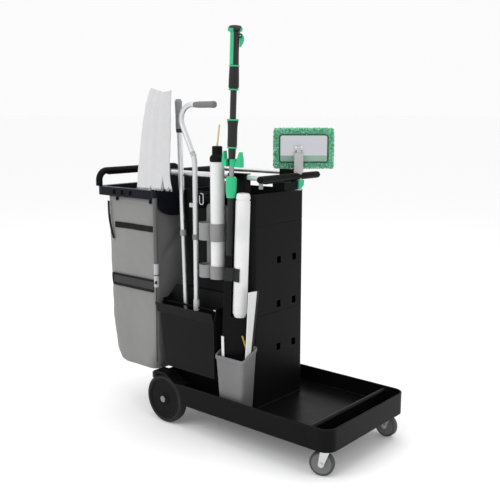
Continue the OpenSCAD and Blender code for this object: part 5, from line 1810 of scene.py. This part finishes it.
@dataclass
class PadTool(Assembly):
    """Pad tool in the front handle: shaft, plate and microfibre pad."""

    pivot: Triple = (0.235, 0.054, 1.1173)
    yaw: float = 40.0
    shift: float = 0.020
    length: float = 0.226
    height: float = 0.148
    corner: float = 0.016
    back: float = 0.018
    thickness: float = 0.016
    core_stops: Profile = (
        (0.0, 0.30), (0.0, 0.88), (0.15, 0.95), (0.4, 0.98), (0.6, 0.97), (0.75, 0.92), (0.8, 0.30),
    )
    plate: Pair = (0.094, 0.055)
    strip_half: Profile = (
        (0.081, -0.0487), (0.0872, -0.0440), (0.0886, -0.0370), (0.0886, -0.0270),
    )
    strip_y: float = 0.0142
    strip_thickness: float = 0.0012
    # Size and corner of the dark ring of painted shade round the plate's edge
    gap_shade: Triple = (0.184, 0.104, 0.011)
    gap_shade_r: float = 0.0034
    gap_shade_sink: float = 0.0004
    voxel: float = 0.004
    pressure: float = 4.0
    frames: int = 20
    most_swell: float = 0.004
    rest_gap: float = 0.0002
    tufts: int = 1700
    tuft_inset: float = 0.006
    tuft_length: Pair = (0.007, 0.012)
    tuft_r: Pair = (0.0014, 0.0024)
    tuft_bend: float = 0.003
    tuft_depth: float = 0.42
    tuft_stand: Pair = (1.1, 0.9)
    tuft_spread: Triple = (0.8, 0.3, 0.8)
    rim_power: int = 6
    rim_share: float = 0.45
    far_share: float = 0.45

    solids: ClassVar[dict[str, Finish]] = {"pad_shaft": LIGHT_GREY, "pad_plate": PLATE_METAL}

    def matrix(self) -> Matrix:
        """From the pad's own frame, with Y away from the plate's face, to the cart's."""
        return Matrix.Translation(self.pivot) @ Matrix.Rotation(math.radians(self.yaw), 4, "Z")

    def upright(self, length: float, width: float, corner: float, y: float, steps: int) -> Ring:
        """A rounded rectangle that stands in the pad's own frame.

        Args:
            length: Its size along X.
            width: Its size along Z.
            corner: Radius of its corners.
            y: Its place along Y.
            steps: Points in each corner.

        Returns:
            Its points.
        """
        return [Vector((p.x, y, p.y)) for p in plan(length, width, corner, (self.shift, 0.0), 0.0, steps)]

    def build(self) -> None:
        """Make the pad with its pile, the dark ring of painted shade round the plate, and the strip along the
        plate's lower edge.
        """
        place = self.matrix()
        core = []
        for share, size in self.core_stops:
            y = self.back + self.thickness * share
            core.append(self.upright(self.length * size, self.height * size, self.corner, y, 10))
        pad = skin(core).moved(place).piece("pad_core", MICROFIBRE, "pad_head", angle=ALL_SMOOTH)
        self.swell(pad)
        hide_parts("pad_cloth")
        for name, finish, seed in (("pad_pile", MICROFIBRE, 11), ("pad_curls", PALE_CURLS, 12)):
            self.pile(seed).moved(place).piece(name, finish, "pad_head", angle=80.0)
        outline = [(self.shift + x, z) for x, z in self.strip_half]
        outline += [(self.shift - x, z) for x, z in reversed(self.strip_half)]
        turn = Matrix.Translation((0.0, self.strip_y, 0.0)) @ Matrix.Rotation(QUARTER_TURN, 4, "X")
        slab(outline, self.strip_thickness).moved(place @ turn).piece("plate_strip", PALE_GREEN, "pad_head")
        # Painted shade: a dark ring round the plate's edge stands for the shadow in the gap between plate and
        # pile
        loop = self.upright(*self.gap_shade, self.back - self.gap_shade_sink, 8)
        tube(loop, self.gap_shade_r, sides=8, loop=True).moved(place).piece("pad_gap_shade", GAP_SHADE, "pad_head")

    def swell(self, pad: bpy.types.Object) -> None:
        """Fill the pad out by a short cloth simulation, flat where it rests on the plate.

        Args:
            pad: The pad's core.
        """
        remesh = pad.modifiers.new("remesh", "REMESH")
        remesh.mode = "VOXEL"
        remesh.voxel_size = self.voxel
        self.bake(pad)
        before = [v.co.copy() for v in pad.data.vertices]
        cloth = pad.modifiers.new("swell", "CLOTH")
        cloth.settings.use_pressure = True
        cloth.settings.uniform_pressure_force = self.pressure
        cloth.settings.effector_weights.gravity = 0.0
        scene = bpy.context.scene
        for number in range(1, self.frames + 1):
            scene.frame_set(number)
        self.bake(pad)
        scene.frame_set(1)
        place = self.matrix()
        back = place.inverted()
        for vertex, start in zip(pad.data.vertices, before):
            move = vertex.co - start
            local = back @ (start + move * min(1.0, self.most_swell / max(move.length, TINY)))
            local.y = max(local.y, self.back + self.rest_gap)
            vertex.co = place @ local
        pad.data.shade_smooth()
        pad.modifiers.new("smooth", "SUBSURF").levels = 1

    def bake(self, pad: bpy.types.Object) -> None:
        """Apply the pad's modifiers to its mesh.

        Args:
            pad: The pad's core.
        """
        graph = bpy.context.evaluated_depsgraph_get()
        mesh = bpy.data.meshes.new_from_object(pad.evaluated_get(graph))
        pad.modifiers.clear()
        pad.data = mesh

    def pile(self, seed: int) -> Shape:
        """Short curled tufts over the pad's rim and faces.

        Args:
            seed: Start of the random draw.

        Returns:
            The tufts in the pad's own frame.
        """
        draw = random.Random(seed)
        shape = Shape()
        half = Vector((self.length / 2.0 - self.tuft_inset, self.height / 2.0 - self.tuft_inset))
        most, stand = self.tuft_stand
        for _ in range(self.tufts):
            u = draw.uniform(-1.0, 1.0)
            v = draw.uniform(-1.0, 1.0)
            if draw.random() < self.rim_share:
                if draw.random() < half.x / (half.x + half.y):
                    v = math.copysign(1.0, v)
                else:
                    u = math.copysign(1.0, u)
            depth = draw.uniform(0.0, 1.0)
            rim = max(abs(u), abs(v)) ** self.rim_power
            face = 1.0 if draw.random() < self.far_share else -1.0
            if abs(u) * half.x < self.plate[0] and abs(v) * half.y < self.plate[1]:
                face = 1.0
            y = self.back + self.thickness * (0.5 + self.tuft_depth * face * (1.0 - rim * depth))
            root = Vector((self.shift + u * half.x, y, v * half.y))
            out = Vector((u * rim, face * (most - rim) * stand, v * rim))
            out += Vector([draw.uniform(-side, side) for side in self.tuft_spread])
            out = out.normalized() * draw.uniform(*self.tuft_length)
            bend = Vector((draw.uniform(-1.0, 1.0), 0.0, draw.uniform(-1.0, 1.0))) * self.tuft_bend
            shape.join(tuft([root, root + out * 0.5 + bend, root + out], draw.uniform(*self.tuft_r)))
        return shape


class Lamp(NamedTuple):
    """A soft square light: its name, place, side and power in watts."""

    name: str
    place: Triple
    size: float
    power: float


@dataclass
class Studio:
    """Pale floor, soft light and the camera."""

    eye: Triple = (1.9935, -2.3032, 1.2461)
    target: Triple = (0.00005, 0.045, 0.7011)
    lens: float = 55.26
    sensor: float = 36.0
    reach: float = 400.0
    glow: float = 0.97
    dim: float = 0.2
    dim_range: Pair = (0.1, 1.0)
    lit: Triple = (0.0, 0.0, 0.6)
    lamps: tuple[Lamp, ...] = (
        Lamp("key", (-0.6, -3.4, 3.4), 2.6, 42.0), Lamp("side", (3.6, 0.8, 2.4), 2.0, 12.0),
        Lamp("top", (0.2, 0.4, 4.2), 3.0, 40.0),
    )

    def floor(self) -> None:
        """Make the floor."""
        mesh = bpy.data.meshes.new("floor")
        corners = [(x * self.reach, y * self.reach, 0.0) for x, y in ((-1, -1), (1, -1), (1, 1), (-1, 1))]
        mesh.from_pydata(corners, [], [(0, 1, 2, 3)])
        mesh.materials.append(material_of(FLOOR))
        floor = linked("floor", mesh)

    def aim(self, obj: bpy.types.Object, place: Sequence[float], target: Sequence[float]) -> None:
        """Put a light or camera at a place, turned towards a target."""
        obj.location = Vector(place)
        obj.rotation_euler = (Vector(target) - obj.location).to_track_quat("-Z", "Y").to_euler()

    def light(self, lamp: Lamp) -> None:
        """Make a soft light that faces the cart.

        Args:
            lamp: The light.
        """
        data = bpy.data.lights.new(lamp.name, "AREA")
        data.shape = "SQUARE"
        data.size = lamp.size
        data.energy = lamp.power
        self.aim(linked(lamp.name, data), lamp.place, self.lit)

    def camera(self) -> None:
        """Make the camera at the photograph's angle."""
        data = bpy.data.cameras.new("camera")
        data.sensor_width = self.sensor
        data.lens = self.lens
        camera = linked("camera", data)
        self.aim(camera, self.eye, self.target)
        bpy.context.scene.camera = camera

    def build(self) -> None:
        """Set the whole studio."""
        scene = bpy.context.scene
        scene.view_settings.view_transform = "Standard"
        tree = ShaderTree(bpy.data.worlds.new("studio"))
        towards = tree.along(tree.add("ShaderNodeTexCoord", {}, {}, "Generated"), "X")
        strength = self.glow - self.dim * towards.step(*self.dim_range)
        sky = {"Color": PURE_WHITE, "Strength": strength}
        tree.close("ShaderNodeOutputWorld", tree.add("ShaderNodeBackground", {}, sky))
        scene.world = tree.owner
        self.floor()
        self.camera()
        for lamp in self.lamps:
            self.light(lamp)


def main() -> None:
    """Build the studio and every sub-assembly in order."""
    logging.basicConfig(level=logging.INFO, format="%(name)s: %(message)s")
    Studio().build()
    parts: tuple[Assembly, ...] = (
        Chassis(), Tower(), Rails(), BagFrame(), WasteBag(), BottleHolder(), FloorMop(), Bucket(), Dustpan(),
        Pole(), Duster(), PadTool(),
    )
    for part in parts:
        LOG.info("building %s", type(part).__name__)
        part.dress()
        part.build()


if __name__ == "__main__":
    main()
